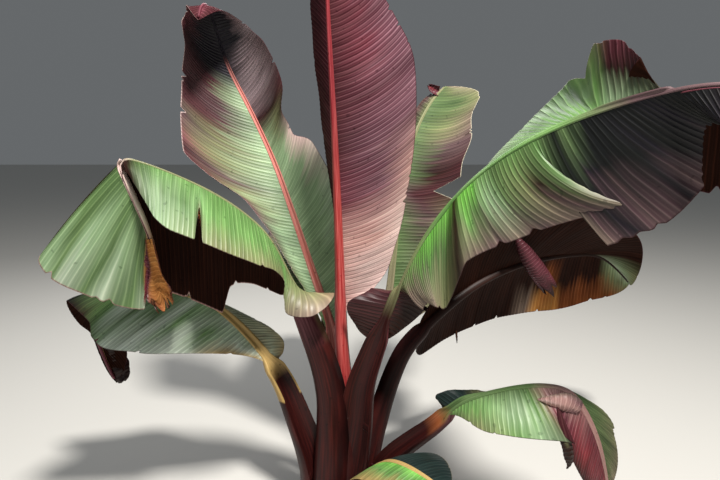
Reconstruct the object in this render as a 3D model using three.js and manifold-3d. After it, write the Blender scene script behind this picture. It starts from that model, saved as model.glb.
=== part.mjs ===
// Red abyssinian banana, whole plant: a pseudostem of clasped leaf bases and ten leaves.
// Millimetres, +Z up, origin at the foot of the stem on the ground, -Y towards the viewer.
import * as THREE from "three";
import { mergeVertices } from "three/addons/utils/BufferGeometryUtils.js";
import Module from "manifold-3d";

const wasm = await Module();
wasm.setup();
const { Manifold, Mesh: SolidMesh } = wasm;

// Driving dimensions
const SHEATH_WIDTH = 112; // a leaf base across, at the ground
const STALK_WIDTH = 84; // the same stalk where it leaves the stem
const STALK_TOP = 56; // and where its blade begins
const RIB_WIDTH = 34; // midrib at the base of the blade
const RIB_TIP = 8; // midrib at the tip
const RIB_TAPER = 0.7; // below 1 it narrows most near its base
const THICKNESS_SHARE = 1 / 95; // blade thickness for each mm of its length
const JOINT_GAP = 0.4; // between the stem and each leaf
const STALK_CLEAR = 20; // blade at the top of a stalk that its neighbours also keep clear of
const STEP = 10; // walk along the rib
const VEIN_STEPS = 24; // walk along one vein
const BLADE_STATION = 58; // longest spacing of sections along a blade
const STALK_STATION = 110; // and along a stalk
const FOLD_ROOM = 0.85; // share of the space between the halves of a folded blade that they may fill
const TIP_WIDTH = 7; // blade half width that is left at the tip
const BURIED = 60; // how far the sheaths run on below the level cut
const HEART_FOOT = 96; // radius of the young leaves packed inside the stem, at the ground
const HEART_TOP = 58; // and where they end among the forks
const HEART_HEIGHT = 235;
const STEM_COLOR = 0x6b2a2a;
const STEM_ROUGHNESS = 0.6;
const LEAF_ROUGHNESS = 0.4;

// Directions are [slope, bearing] in degrees: slope above the level, bearing from +X
// anticlockwise seen from above, so -90 is towards the viewer.
// rib: [distance from the ground, slope, bearing]
// left, right: [share of the blade, slope and bearing at the rib, slope and bearing at the margin]
// leftWide, rightWide: [share of the blade, share of the half width]
// leftTears, rightTears: [share of the blade, length along the rib, depth]
// fork: distance from the ground at which the stalk leaves the stem
// girth: how stout the base and the stalk are, 1 where it isn't stated
const LEAVES = [
  {
    name: "leaf_tall_left", color: 0x6f5a4a, foot: [-11, 11],
    fork: 300, stalk: 480, blade: 1290, width: 290, shoulder: 0.3, nose: 0.3,
    rib: [
      [0, 86, 71], [250, 81, 113], [430, 83, 119], [600, 71, 159], [800, 66, 144], [1000, 66, 146],
      [1200, 64, 163], [1360, 63, 178], [1500, 69, 229], [1600, 40, 268], [1680, -10, 268],
      [1770, -70, 268],
    ],
    left: [
      [0, 20, 190, 30, 200], [0.3, 5, 190, 35, 200], [0.41, 5, 190, 45, 200],
      [0.58, 8, 190, 55, 205], [0.69, 12, 195, 60, 235], [0.76, 15, 200, 50, 250],
      [0.87, 0, 210, 20, 240], [1, -20, 210, -60, 240],
    ],
    leftWide: [
      [0, 0.3], [0.25, 0.36], [0.3, 0.46], [0.34, 0.6], [0.37, 1], [0.4, 1.22], [0.46, 1.18],
      [0.58, 0.99], [0.69, 0.77], [0.76, 0.66], [0.87, 0.45], [1, 0.45],
    ],
    right: [
      [0, 40, -15, 50, -20], [0.3, 45, -15, 65, -20], [0.45, 60, -20, 80, -30],
      [0.52, 55, -30, 60, -60], [0.58, 40, -25, 65, -40], [0.68, 35, -20, 50, -60],
      [0.8, 10, -20, 30, -40], [0.9, 0, -10, -20, -20], [1, -20, -10, -60, -20],
    ],
    rightWide: [
      [0, 0.7], [0.38, 0.72], [0.45, 0.52], [0.52, 0.48], [0.6, 0.6], [0.68, 0.64], [0.8, 0.5],
      [0.9, 0.4], [1, 0.5],
    ],
  },
  {
    name: "leaf_upright", color: 0x8a4048, foot: [13, 5], girth: 0.6,
    fork: 330, stalk: 620, blade: 973, width: 255, shoulder: 0.5, nose: 0.45, round: 0.6,
    rib: [
      [0, 90, -136], [200, 89, -136], [400, 85, -136], [600, 83, -93], [850, 80, -96],
      [1100, 78, -98], [1593, 88, -120],
    ],
    left: [[0, -5, 20, 10, 10], [0.12, 5, 22, 25, 15], [0.5, 12, 20, 48, 12], [1, 20, 15, 55, 5]],
    leftWide: [[0, 1], [0.08, 1.3], [0.15, 1.16], [0.3, 1.07], [0.6, 1.09], [0.75, 1.01], [1, 1]],
    right: [[0, 50, 140, 40, 130], [0.5, 35, 125, 30, 115], [1, 40, 130, 30, 115]],
    rightWide: [
      [0, 0.1], [0.25, 0.1], [0.33, 0.16], [0.42, 0.28], [0.52, 0.38], [0.63, 0.48], [0.77, 0.62],
      [0.88, 0.86], [1, 0.85],
    ],
  },
  {
    name: "leaf_folded_left", color: 0x7f9a60, foot: [-35, -48],
    fork: 260, stalk: 640, blade: 1100, width: 340, shoulder: 0.15, nose: 0.35, round: 0.6,
    rib: [
      [0, 85, -15], [150, 89, -42], [300, 88, -114], [420, 78, -167], [560, 70, -164],
      [700, 70, -158], [850, 63, -158], [960, 44, -161], [1120, 29, -155], [1300, 17, -154],
      [1360, -116, -202], [1470, -109, -170], [1570, -103, -120], [1740, -106, -106],
    ],
    left: [
      [0, 30, -10, 10, -15], [0.04, 35, -15, 0, -25], [0.075, 20, -50, -70, -80],
      [0.12, 0, -80, -85, -105], [0.16, -20, -75, -80, -90], [0.2, -30, -65, -60, -65],
      [0.3, -25, -70, -55, -75], [0.5, -25, -75, -55, -80], [0.6, -30, -60, -60, -60],
      [0.7, -60, -40, -80, -30], [1, -80, -40, -85, -40],
    ],
    leftWide: [
      [0, 0.5], [0.04, 0.57], [0.075, 0.5], [0.12, 0.42], [0.16, 0.36], [0.2, 0.33], [0.24, 0.38],
      [0.3, 0.5], [0.4, 0.57], [0.5, 0.58], [0.56, 0.53], [0.6, 0.35], [0.63, 0.08], [1, 0.15],
    ],
    leftTears: [[0.445, 0.028, 0.35]],
    right: [
      [0, -20, 120, -30, 120], [0.1, -50, 118, -75, 115], [0.3, -65, 114, -88, 110],
      [0.608, -70, 114, -88, 110], [0.626, -44, 202, -54, 200], [0.72, -58, 198, -62, 198],
      [0.8, -82, 190, -86, 190], [1, -80, 200, -85, 215],
    ],
    rightWide: [
      [0, 0.15], [0.1, 0.2], [0.16, 0.35], [0.24, 0.51], [0.3, 0.6], [0.36, 0.74], [0.39, 1.04],
      [0.5, 1.02], [0.608, 1], [0.626, 0.88], [0.66, 0.88], [0.72, 0.81], [0.8, 0.71], [0.82, 0.15],
      [1, 0.2],
    ],
    rightTears: [[0.617, 0.016, 0.2]],
  },
  {
    name: "leaf_low_left", color: 0x6f8a50, foot: [-58, -55],
    fork: 120, stalk: 470, blade: 930, width: 248, shoulder: 0.3, nose: 0.4,
    rib: [
      [0, 77, -171], [120, 78, -172], [240, 72, -178], [360, 70, -184], [480, 57, -186],
      [600, 48, -186], [720, 37, -186], [800, 17, -184], [880, 11, -182], [960, 5, -182],
      [1040, -5, -180], [1125, -55, -181], [1200, -98, -180], [1400, -112, -178],
    ],
    left: [
      [0, -20, -115, -30, -120], [0.1, -20, -125, -30, -140], [0.25, -20, -135, -32, -155],
      [0.4, -25, -140, -38, -160], [0.55, -25, -150, -45, -170], [0.66, -10, -170, -25, -180],
      [0.75, -35, -180, -55, -180], [0.82, -60, -180, -80, -180], [1, -85, -180, -88, -180],
    ],
    leftWide: [
      [0, 0.15], [0.1, 0.4], [0.2, 0.7], [0.3, 0.97], [0.4, 1.04], [0.48, 0.92], [0.55, 0.68],
      [0.66, 0.48], [0.75, 0.27], [0.82, 0.12], [0.9, 0.2], [1, 0.3],
    ],
    right: [
      [0, 10, 20, 0, 20], [0.15, 0, 20, -10, 10], [0.3, -15, 25, -25, 20], [0.5, -10, 60, -40, 60],
      [0.65, -30, 30, -60, 30], [0.75, -35, 10, -50, 0], [0.85, -40, 10, -60, 0],
      [1, -70, 20, -80, 0],
    ],
    rightWide: [
      [0, 0.8], [0.1, 0.65], [0.17, 0.48], [0.25, 0.36], [0.32, 0.33], [0.5, 0.4], [0.65, 0.5],
      [0.75, 0.62], [0.82, 0.74], [0.9, 0.8], [1, 0.85],
    ],
  },
  {
    name: "leaf_back_right", color: 0x6f9050, foot: [30, 59], girth: 0.8,
    fork: 260, stalk: 480, blade: 960, width: 285, shoulder: 0.35, nose: 0.12,
    rib: [
      [0, 86, 82], [280, 75, 36], [500, 65, 43], [700, 74, 64], [900, 73, 66], [1100, 65, 57],
      [1300, 56, 37], [1440, 42, 11],
    ],
    left: [[0, 35, 160, 30, 160], [0.5, 35, 160, 20, 160], [1, 30, 120, 20, 120]],
    leftWide: [[0, 0.12], [0.3, 0.05], [0.5, 0.15], [1, 0.15]],
    right: [
      [0, 10, -8, 10, -8], [0.1, 5, -8, 5, -8], [0.3, 0, -14, 8, -14], [0.44, -5, -20, 10, -20],
      [0.62, -15, -20, 30, -15], [0.82, -15, -20, 35, -15], [1, 0, -20, 20, -10],
    ],
    rightWide: [
      [0, 0.9], [0.1, 1.06], [0.2, 0.78], [0.44, 0.75], [0.62, 0.72], [0.71, 0.77], [0.82, 0.68],
      [1, 0.66],
    ],
    rightTears: [[0.54, 0.08, 0.55]],
  },
  {
    name: "leaf_great_right", color: 0x7fa35e, foot: [7, -49], girth: 1.15,
    fork: 280, stalk: 545, blade: 1505, width: 340, shoulder: 0.15, nose: 0.25, round: 0.6,
    rib: [
      [0, 87, -9], [180, 80, -8], [330, 84, -19], [470, 71, -10], [640, 69, -32], [860, 59, -46],
      [1020, 50, -35], [1200, 33, -49], [1400, 20, -44], [1600, 9, -49], [1690, -4, -42],
      [1790, -70, -45], [2050, -85, -50],
    ],
    left: [
      [0, 22, 178, 22, 180], [0.08, 10, 178, 10, 180], [0.11, 5, 150, 5, 150],
      [0.14, -40, 60, -60, 50], [0.25, -40, 80, -50, 90], [0.4, -20, 86, -24, 88],
      [0.47, -8, 86, -8, 88], [0.54, 3, 86, 4, 88], [0.6, 20, 88, 38, 95], [0.62, 70, 100, 80, 120],
      [0.65, 80, 120, 80, 170], [0.69, 60, 150, 60, 160], [0.72, -60, 60, -80, 60],
      [1, -80, 40, -85, 40],
    ],
    leftWide: [
      [0, 0.9], [0.02, 0.6], [0.05, 0.5], [0.08, 0.42], [0.11, 0.25], [0.14, 0.25], [0.3, 0.6],
      [0.47, 0.75], [0.54, 0.7], [0.6, 0.45], [0.65, 0.35], [0.69, 0.22], [0.74, 0.6], [1, 0.7],
    ],
    leftTears: [[0.61, 0.015, 0.6], [0.7, 0.02, 0.9]],
    right: [
      [0, 0, -30, -20, -35], [0.05, 10, -35, -35, -35], [0.1, 10, -40, -25, -30],
      [0.175, -70, -95, -25, -30], [0.235, -80, -100, -45, -40], [0.29, -85, -100, -75, -60],
      [0.322, -86, -100, -84, -70], [0.345, -55, -95, -65, -55], [0.41, -55, -85, -40, -25],
      [0.47, -60, -75, -15, -20], [0.505, -55, -65, 2, -15], [0.525, -65, -60, -45, -25],
      [0.57, -58, -55, -40, -20], [0.62, -45, -45, -25, -15], [0.68, -35, -40, -15, -10],
      [0.75, -60, -60, -70, -60], [1, -80, -80, -85, -80],
    ],
    rightWide: [
      [0, 0.2], [0.05, 0.28], [0.1, 0.34], [0.175, 0.38], [0.235, 0.54], [0.29, 0.69],
      [0.322, 0.79], [0.345, 0.52], [0.41, 0.59], [0.47, 0.7], [0.505, 0.9], [0.525, 0.84],
      [0.57, 0.84], [0.62, 0.72], [0.68, 0.62], [0.75, 0.5], [0.85, 0.35], [1, 0.4],
    ],
    rightTears: [[0.514, 0.014, 0.5]],
  },
  {
    name: "leaf_under_right", color: 0x5a1a1c, foot: [43, 16], girth: 0.8,
    fork: 200, stalk: 560, blade: 940, width: 270, shoulder: 0.12, nose: 0.35,
    rib: [
      [0, 85, 31], [150, 71, 31], [300, 69, 27], [420, 63, 22], [560, 40, 18], [735, 31, 23],
      [916, 19, 17], [1118, 6, 16], [1276, -4, 17], [1390, -37, 6], [1500, -50, 0],
    ],
    left: [[0, -40, 110, -60, 100], [0.5, -50, 100, -70, 90], [1, -60, 60, -80, 60]],
    right: [
      [0, 80, -60, 60, -60], [0.2, 75, -75, 60, -60], [0.36, 65, -70, 50, -60],
      [0.52, 46, -60, 38, -50], [0.75, 20, -50, 0, -40], [0.85, -10, -50, -30, -50],
      [1, -50, -50, -60, -40],
    ],
    rightWide: [
      [0, 0.5], [0.1, 0.68], [0.2, 0.78], [0.36, 0.86], [0.52, 1], [0.6, 1], [0.8, 0.75], [1, 0.6],
    ],
  },
  {
    name: "leaf_low_right", color: 0x8a4a4a, foot: [61, -23], girth: 0.75,
    fork: 110, stalk: 430, blade: 710, width: 210, shoulder: 0.25, nose: 0.4,
    rib: [
      [0, 59, -24], [120, 60, -24], [240, 47, -29], [340, 44, -28], [440, 51, -28], [560, 29, -25],
      [680, 21, -28], [760, 8, -28], [840, -50, -17], [940, -66, 3], [1060, -73, 23],
      [1140, -75, 25],
    ],
    left: [
      [0, 25, 150, 25, 155], [0.1, 25, 145, 25, 150], [0.17, 10, 90, 0, 90],
      [0.22, -10, 60, -30, 60], [0.4, -10, 40, -30, 30], [0.5, -20, 10, -35, 0],
      [0.64, -35, 0, -45, 0], [1, -60, 20, -70, 20],
    ],
    leftWide: [
      [0, 0.9], [0.05, 0.8], [0.1, 0.45], [0.17, 0.22], [0.25, 0.4], [0.4, 0.5], [0.57, 0.6],
      [0.64, 0.5], [1, 0.5],
    ],
    right: [
      [0, -10, -110, -30, -100], [0.3, -20, -105, -50, -90], [0.45, -30, -75, -60, -50],
      [0.52, -50, -120, -70, -130], [1, -65, -150, -75, -150],
    ],
    rightWide: [
      [0, 0.2], [0.1, 0.36], [0.2, 0.55], [0.3, 0.65], [0.4, 0.73], [0.45, 0.76], [0.5, 0.5],
      [0.6, 0.6], [1, 0.7],
    ],
  },
  {
    name: "leaf_young_front", color: 0x6a8a4c, foot: [44, -92], girth: 0.6,
    fork: 60, stalk: 130, blade: 400, width: 110, shoulder: 0.25, nose: 0.45,
    rib: [[0, 66, -65], [176, 60, -62], [284, 40, -57], [383, 10, -50], [530, -20, -40]],
    left: [[0, 10, 30, -10, 30], [1, 0, 30, -30, 30]],
    leftWide: [[0, 0.6], [0.4, 1.3], [1, 1.3]],
    right: [[0, 10, -150, -10, -150], [1, -10, -140, -40, -140]],
    rightWide: [[0, 0.5], [0.3, 0.8], [1, 1]],
  },
  {
    name: "leaf_back", color: 0x6f8f4a, foot: [-15, 95], girth: 0.8,
    fork: 300, stalk: 560, blade: 750, width: 230, shoulder: 0.2, nose: 0.4,
    rib: [[0, 80, 110], [300, 74, 108], [600, 60, 102], [900, 32, 98], [1310, -20, 95]],
    left: [[0, 20, 180, 10, 180], [0.5, 0, 170, -30, 170], [1, -30, 140, -40, 140]],
    right: [[0, 20, 10, 10, 10], [0.5, 0, 20, -30, 20], [1, -30, 40, -40, 40]],
  },
];

// The leaf rule
const clamp01 = (x) => Math.min(1, Math.max(0, x));
const mix = (a, b, w) => a + (b - a) * w;
const smooth = (x) => clamp01(x) ** 2 * (3 - 2 * clamp01(x));

// A smooth curve through rows [x, value, value, ...] that never overshoots them.
function along(rows, x) {
  if (rows.length === 1) return rows[0].slice(1);
  const last = rows.length - 1;
  let k = 0;
  while (k < last - 1 && rows[k + 1][0] <= x) k += 1;
  const h = rows[k + 1][0] - rows[k][0];
  const u = clamp01((x - rows[k][0]) / h);
  const rise = (i, c) => (rows[i + 1][c] - rows[i][c]) / (rows[i + 1][0] - rows[i][0]);
  const tangent = (i, c) => {
    if (i === 0) return rise(0, c);
    if (i === last) return rise(last - 1, c);
    const a = rise(i - 1, c);
    const b = rise(i, c);
    return a * b > 0 ? (2 * a * b) / (a + b) : 0;
  };
  const value = (c) =>
    (2 * u ** 3 - 3 * u ** 2 + 1) * rows[k][c] +
    (u ** 3 - 2 * u ** 2 + u) * h * tangent(k, c) +
    (3 * u ** 2 - 2 * u ** 3) * rows[k + 1][c] +
    (u ** 3 - u ** 2) * h * tangent(k + 1, c);
  return rows[k].slice(1).map((_, i) => value(i + 1));
}

function heading(slope, bearing) {
  const s = THREE.MathUtils.degToRad(slope);
  const b = THREE.MathUtils.degToRad(bearing);
  return new THREE.Vector3(Math.cos(s) * Math.cos(b), Math.cos(s) * Math.sin(b), Math.sin(s));
}

// The rib from the ground to the tip, one point every STEP.
function ribPoints(leaf) {
  const points = [new THREE.Vector3(leaf.foot[0], leaf.foot[1], 0)];
  const count = Math.round((leaf.stalk + leaf.blade) / STEP);
  for (let i = 0; i < count; i += 1) {
    const [slope, bearing] = along(leaf.rib, (i + 0.5) * STEP);
    points.push(points[i].clone().addScaledVector(heading(slope, bearing), STEP));
  }
  return points;
}

// A point of the rib; the first and the last step go straight on.
function ribAt(points, s) {
  const i = Math.min(Math.max(Math.floor(s / STEP), 0), points.length - 2);
  return points[i].clone().lerp(points[i + 1], s / STEP - i);
}

// Half width of the blade at share t of its length, from 0 at both ends to 1.
function outline(leaf, t) {
  const rise = Math.sin((clamp01(t / leaf.shoulder) * Math.PI) / 2) ** (leaf.round ?? 1);
  const fall = Math.sin((clamp01((1 - t) / leaf.nose) * Math.PI) / 2) ** 0.8;
  return rise * fall;
}

function veinLength(leaf, side, t) {
  let length = leaf.width * outline(leaf, t);
  const wide = leaf[`${side}Wide`];
  if (wide) length *= along(wide, t)[0];
  for (const [at, span, depth] of leaf[`${side}Tears`] ?? []) {
    length *= 1 - (1 - depth) * clamp01(1 - Math.abs(t - at) / (span / 2));
  }
  return length;
}

// Stalk half width at distance s from the ground.
function stalkHalf(leaf, s) {
  const stout = (leaf.girth ?? 1) / 2;
  if (s < leaf.fork) return mix(SHEATH_WIDTH, STALK_WIDTH, s / leaf.fork) * stout;
  if (s < leaf.stalk) {
    return mix(STALK_WIDTH, STALK_TOP, (s - leaf.fork) / (leaf.stalk - leaf.fork)) * stout;
  }
  const t = clamp01((s - leaf.stalk) / leaf.blade);
  return mix(RIB_WIDTH, RIB_TIP, t ** RIB_TAPER) / 2;
}

// The side of a stalk: level across its channel, square to the rib.
function acrossStalk(leaf, forward) {
  const [a, b] = leaf.left[0].slice(1, 3);
  const [c, d] = leaf.right[0].slice(1, 3);
  const side = heading(a, b).sub(heading(c, d));
  return side.addScaledVector(forward, -side.dot(forward)).normalize();
}

const STALK_COLUMNS = [0, 0.35, 0.65, 0.88, 1]; // shares of a half, from the rib outward
const BLADE_COLUMNS = [0, 0, 0.38, 0.7, 1]; // the second one is the edge of the midrib

// One half of the section at s, from the rib outward: the points and their shares.
function halfSection(leaf, side, s, centre, forward, swell) {
  const t = (s - leaf.stalk) / leaf.blade;
  const half = stalkHalf(leaf, s) + swell;
  const across = acrossStalk(leaf, forward).multiplyScalar(side === "left" ? 1 : -1);
  const [slopeIn, bearingIn, slopeOut, bearingOut] = along(leaf[side], clamp01(t));
  const onBlade = smooth(t / 0.06);
  const least = mix(half, TIP_WIDTH, clamp01((t - 0.9) / 0.1));
  const length = Math.max(t > 0 ? veinLength(leaf, side, t) : 0, least);
  const path = [centre.clone()];
  for (let i = 0; i < VEIN_STEPS; i += 1) {
    const v = (i + 0.5) / VEIN_STEPS;
    const vein = heading(mix(slopeIn, slopeOut, v), mix(bearingIn, bearingOut, v));
    const step = across.clone().lerp(vein, onBlade).normalize();
    path.push(path[i].clone().addScaledVector(step, length / VEIN_STEPS));
  }
  const shares = STALK_COLUMNS.map((stalkShare, j) => {
    const bladeShare = j === 1 ? Math.min(half / length, 0.25) : BLADE_COLUMNS[j];
    return mix(stalkShare, bladeShare, onBlade);
  });
  const points = shares.map((share) => {
    const i = Math.min(Math.floor(share * VEIN_STEPS), VEIN_STEPS - 1);
    return path[i].clone().lerp(path[i + 1], share * VEIN_STEPS - i);
  });
  return { points, shares };
}

// Distances along the leaf at which it has a section.
function stations(leaf, from, to) {
  const knots = leaf.rib.map((row) => row[0]);
  for (const side of ["left", "right"]) {
    knots.push(...leaf[side].map((row) => leaf.stalk + row[0] * leaf.blade));
    for (const [at, span] of leaf[`${side}Tears`] ?? []) {
      const middle = leaf.stalk + at * leaf.blade;
      const reach = (span / 2) * leaf.blade;
      knots.push(middle - reach, middle, middle + reach);
    }
  }
  knots.push(leaf.stalk + 0.03 * leaf.blade, leaf.stalk + 0.97 * leaf.blade);
  const inside = knots.filter((s) => s > from + 12 && s < to - 12).sort((a, b) => a - b);
  const kept = [from];
  for (const s of [...inside, to]) {
    const before = kept[kept.length - 1];
    if (s - before < 12 && s !== to) continue;
    const spacing = s > leaf.stalk ? BLADE_STATION : STALK_STATION;
    const parts = Math.ceil((s - before) / spacing);
    for (let i = 1; i <= parts; i += 1) kept.push(before + ((s - before) * i) / parts);
  }
  return kept;
}

// Closed skin over rings of points that all have the same count.
function skin(rings) {
  const count = rings[0].length;
  const position = [];
  const index = [];
  for (const ring of rings) for (const p of ring) position.push(p.x, p.y, p.z);
  for (let r = 0; r + 1 < rings.length; r += 1) {
    for (let i = 0; i < count; i += 1) {
      const a = r * count + i;
      const b = r * count + ((i + 1) % count);
      index.push(a, b, a + count, b, b + count, a + count);
    }
  }
  // The ends are ladders between the upper and the lower half of the ring.
  const ladder = (base, flip) => {
    for (let i = 0; i + 1 < count / 2; i += 1) {
      const [a, b, c, d] = [i, i + 1, count - 1 - i, count - 2 - i].map((k) => base + k);
      if (flip) index.push(a, c, b, b, c, d);
      else index.push(a, b, c, b, d, c);
    }
  };
  ladder(0, true);
  ladder((rings.length - 1) * count, false);
  const geometry = new THREE.BufferGeometry();
  geometry.setAttribute("position", new THREE.Float32BufferAttribute(position, 3));
  geometry.setIndex(index);
  return geometry;
}

// Upper and lower side of a leaf between two distances along it, swollen on all sides.
function leafSkin(leaf, from, to, swell = 0) {
  const points = ribPoints(leaf);
  const thick = leaf.blade * THICKNESS_SHARE;
  const list = stations(leaf, from, to);
  const sections = list.map((s) => {
    const centre = ribAt(points, s);
    const forward = ribAt(points, s + STEP).sub(ribAt(points, s - STEP)).normalize();
    const left = halfSection(leaf, "left", s, centre, forward, swell);
    const right = halfSection(leaf, "right", s, centre, forward, swell);
    const row = [...left.points.slice(1).reverse(), ...right.points];
    const shares = [...left.shares.slice(1).reverse(), ...right.shares];
    return { row, shares, forward };
  });
  const rib = STALK_COLUMNS.length - 1;
  const rings = sections.map(({ row, shares, forward }, r) => {
    const t = (list[r] - leaf.stalk) / leaf.blade;
    const onBlade = smooth(t / 0.06);
    const half = stalkHalf(leaf, list[r]);
    const before = sections[Math.max(r - 1, 0)].row;
    const after = sections[Math.min(r + 1, sections.length - 1)].row;
    const [near, off] = [row[rib - 2], row[rib + 2]].map((p) => p.clone().sub(row[rib]).normalize());
    const open = FOLD_ROOM * Math.tan(near.angleTo(off) / 2);
    const between = near.add(off);
    const upper = [];
    const lower = [];
    for (let i = 0; i < row.length; i += 1) {
      const ahead = after[i].clone().sub(before[i]).normalize();
      ahead.lerpVectors(forward, ahead, onBlade);
      const leftward = row[Math.max(i - 1, 0)].clone().sub(row[Math.min(i + 1, 2 * rib)]);
      const normal = ahead.cross(leftward).normalize();
      const x = shares[i];
      const column = Math.abs(i - rib);
      const ribDepth = [1.5, 0.8, 0, 0, 0][column] * half * Math.min(open, 1);
      let up = mix(half * (0.15 + 0.5 * x ** 2), thick / 2, onBlade);
      let down = mix(half * 1.5 * Math.sqrt(1.02 - x ** 2), thick / 2 + ribDepth, onBlade);
      if (column > 0 && onBlade === 1) {
        // Inside a fold the two halves keep clear of each other, at full thickness.
        const room = row[i].distanceTo(row[rib]) * open;
        if (normal.dot(between) < 0) {
          down = Math.min(down, room);
          up = Math.max(up, thick - down);
        } else {
          up = Math.min(up, room);
          down = Math.max(down, thick - up);
        }
      }
      upper.push(row[i].clone().addScaledVector(normal, up + swell));
      lower.push(row[i].clone().addScaledVector(normal, -down - swell));
    }
    return [...upper, ...lower.reverse()];
  });
  return skin(rings);
}

// Solids
function solidOf(geometry) {
  const bare = geometry.clone();
  for (const name of Object.keys(bare.attributes)) {
    if (name !== "position") bare.deleteAttribute(name);
  }
  const merged = mergeVertices(bare, 1e-3);
  return new Manifold(
    new SolidMesh({
      numProp: 3,
      vertProperties: new Float32Array(merged.attributes.position.array),
      triVerts: new Uint32Array(merged.index.array),
    }),
  );
}

function geometryOf(solid) {
  const mesh = solid.getMesh();
  const geometry = new THREE.BufferGeometry();
  geometry.setAttribute("position", new THREE.Float32BufferAttribute(mesh.vertProperties, 3));
  geometry.setIndex(new THREE.Uint32BufferAttribute(mesh.triVerts, 1));
  return geometry;
}

const group = new THREE.Group();

function addPart(name, geometry, color, roughness) {
  const flat = geometry.index ? geometry.toNonIndexed() : geometry;
  flat.computeVertexNormals();
  const mesh = new THREE.Mesh(flat, new THREE.MeshStandardMaterial({ color, roughness, metalness: 0 }));
  mesh.name = name;
  group.add(mesh);
}

// The youngest leaves, rolled up tight between the sheaths.
function heart(swell) {
  const foot = HEART_FOOT + swell;
  const top = HEART_TOP + swell;
  const profile = [
    [0, -BURIED], [foot, -BURIED], [foot, 0], [top, HEART_HEIGHT],
    [top * 0.7, HEART_HEIGHT + top * 0.5], [0, HEART_HEIGHT + top * 0.7],
  ];
  const geometry = new THREE.LatheGeometry(profile.map(([r, z]) => new THREE.Vector2(r, z)), 20);
  return solidOf(geometry.rotateX(Math.PI / 2));
}

// The stem: every leaf base up to its fork, round the heart.
function stem(swell) {
  const sheaths = LEAVES.map((leaf) => {
    const base = { ...leaf, stalk: leaf.fork + 200 };
    return solidOf(leafSkin(base, -BURIED, leaf.fork + swell / 2, swell));
  });
  return sheaths.reduce((all, sheath) => all.add(sheath), heart(swell));
}

// Everything under the ground, for the level cut at the foot.
const underground = new THREE.BoxGeometry(900, 900, 400);
underground.translate(0, 0, -200);
const trunk = stem(0).subtract(solidOf(underground));
addPart("pseudostem", geometryOf(trunk), STEM_COLOR, STEM_ROUGHNESS);

// A leaf begins where its stalk leaves the stem, clear of the stem and of the stalks before it.
let taken = stem(JOINT_GAP);
for (const leaf of LEAVES) {
  const whole = solidOf(leafSkin(leaf, leaf.fork + JOINT_GAP, leaf.stalk + leaf.blade));
  addPart(leaf.name, geometryOf(whole.subtract(taken)), leaf.color, LEAF_ROUGHNESS);
  taken = taken.add(solidOf(leafSkin(leaf, leaf.fork, leaf.stalk + STALK_CLEAR, JOINT_GAP)));
}

export default group;
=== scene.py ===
"""Red abyssinian banana: ten broad leaves on channelled stalks, round a stem of clasped bases.

The leaf rule works in millimetres; meshes are written in metres. Directions are (slope, bearing)
in degrees: slope above the level, bearing from +X anticlockwise, so -90 is towards the viewer.
"""
import math

import bmesh
import bpy
import numpy as np
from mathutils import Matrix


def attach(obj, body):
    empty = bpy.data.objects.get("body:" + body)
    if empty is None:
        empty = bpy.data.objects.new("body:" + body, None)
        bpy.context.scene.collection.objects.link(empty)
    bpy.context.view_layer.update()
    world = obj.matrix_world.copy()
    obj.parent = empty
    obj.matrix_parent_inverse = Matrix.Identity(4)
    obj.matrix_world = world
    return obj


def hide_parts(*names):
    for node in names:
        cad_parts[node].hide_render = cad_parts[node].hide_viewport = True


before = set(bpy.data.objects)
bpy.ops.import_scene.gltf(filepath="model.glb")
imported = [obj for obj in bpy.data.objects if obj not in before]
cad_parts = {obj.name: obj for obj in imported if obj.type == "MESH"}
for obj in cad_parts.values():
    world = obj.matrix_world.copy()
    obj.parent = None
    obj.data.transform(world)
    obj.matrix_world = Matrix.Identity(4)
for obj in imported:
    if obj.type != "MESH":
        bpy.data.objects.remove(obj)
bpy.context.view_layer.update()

MM = 0.001

# Driving sizes.
SHEATH_WIDTH = 112  # a leaf base across, at the ground
STALK_WIDTH = 84  # the same stalk where it leaves the stem
STALK_TOP = 56  # and where its blade begins
RIB_WIDTH = 34  # midrib at the base of the blade
RIB_TIP = 8  # midrib at the tip
RIB_TAPER = 0.7  # below 1 it narrows most near its base
OPENING = 0.06  # share of the blade over which the channel of its stalk opens into it
BLADE_THICK = 1.0  # at the midrib, and half as much at the margins
TIP_WIDTH = 4  # blade half width that is left at the tip
TIP_SHARE = 0.1  # share of the blade over which the least width goes down to that
TIP_CLOSE = 0.02  # and the share over which the tip closes
TIP_LEFT = 0.15  # share of that width at the very tip
NOSE_ROUND = 0.8  # below 1 the end of a blade is blunter
BURIED = 60  # how far the sheaths run on below the level cut
HEART_FOOT = 96  # radius of the young leaves packed inside the stem, at the ground
HEART_TOP = 58  # and where they end among the forks
HEART_HEIGHT = 235
HEART_CAP = 34.8  # height of the rounded end above that
HEART_FOLDS = 3  # low folds wound round it
HEART_FOLD_DEPTH = 0.03  # as a share of its radius
HEART_TWIST = 60  # height over which their wave moves on by one radian

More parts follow.
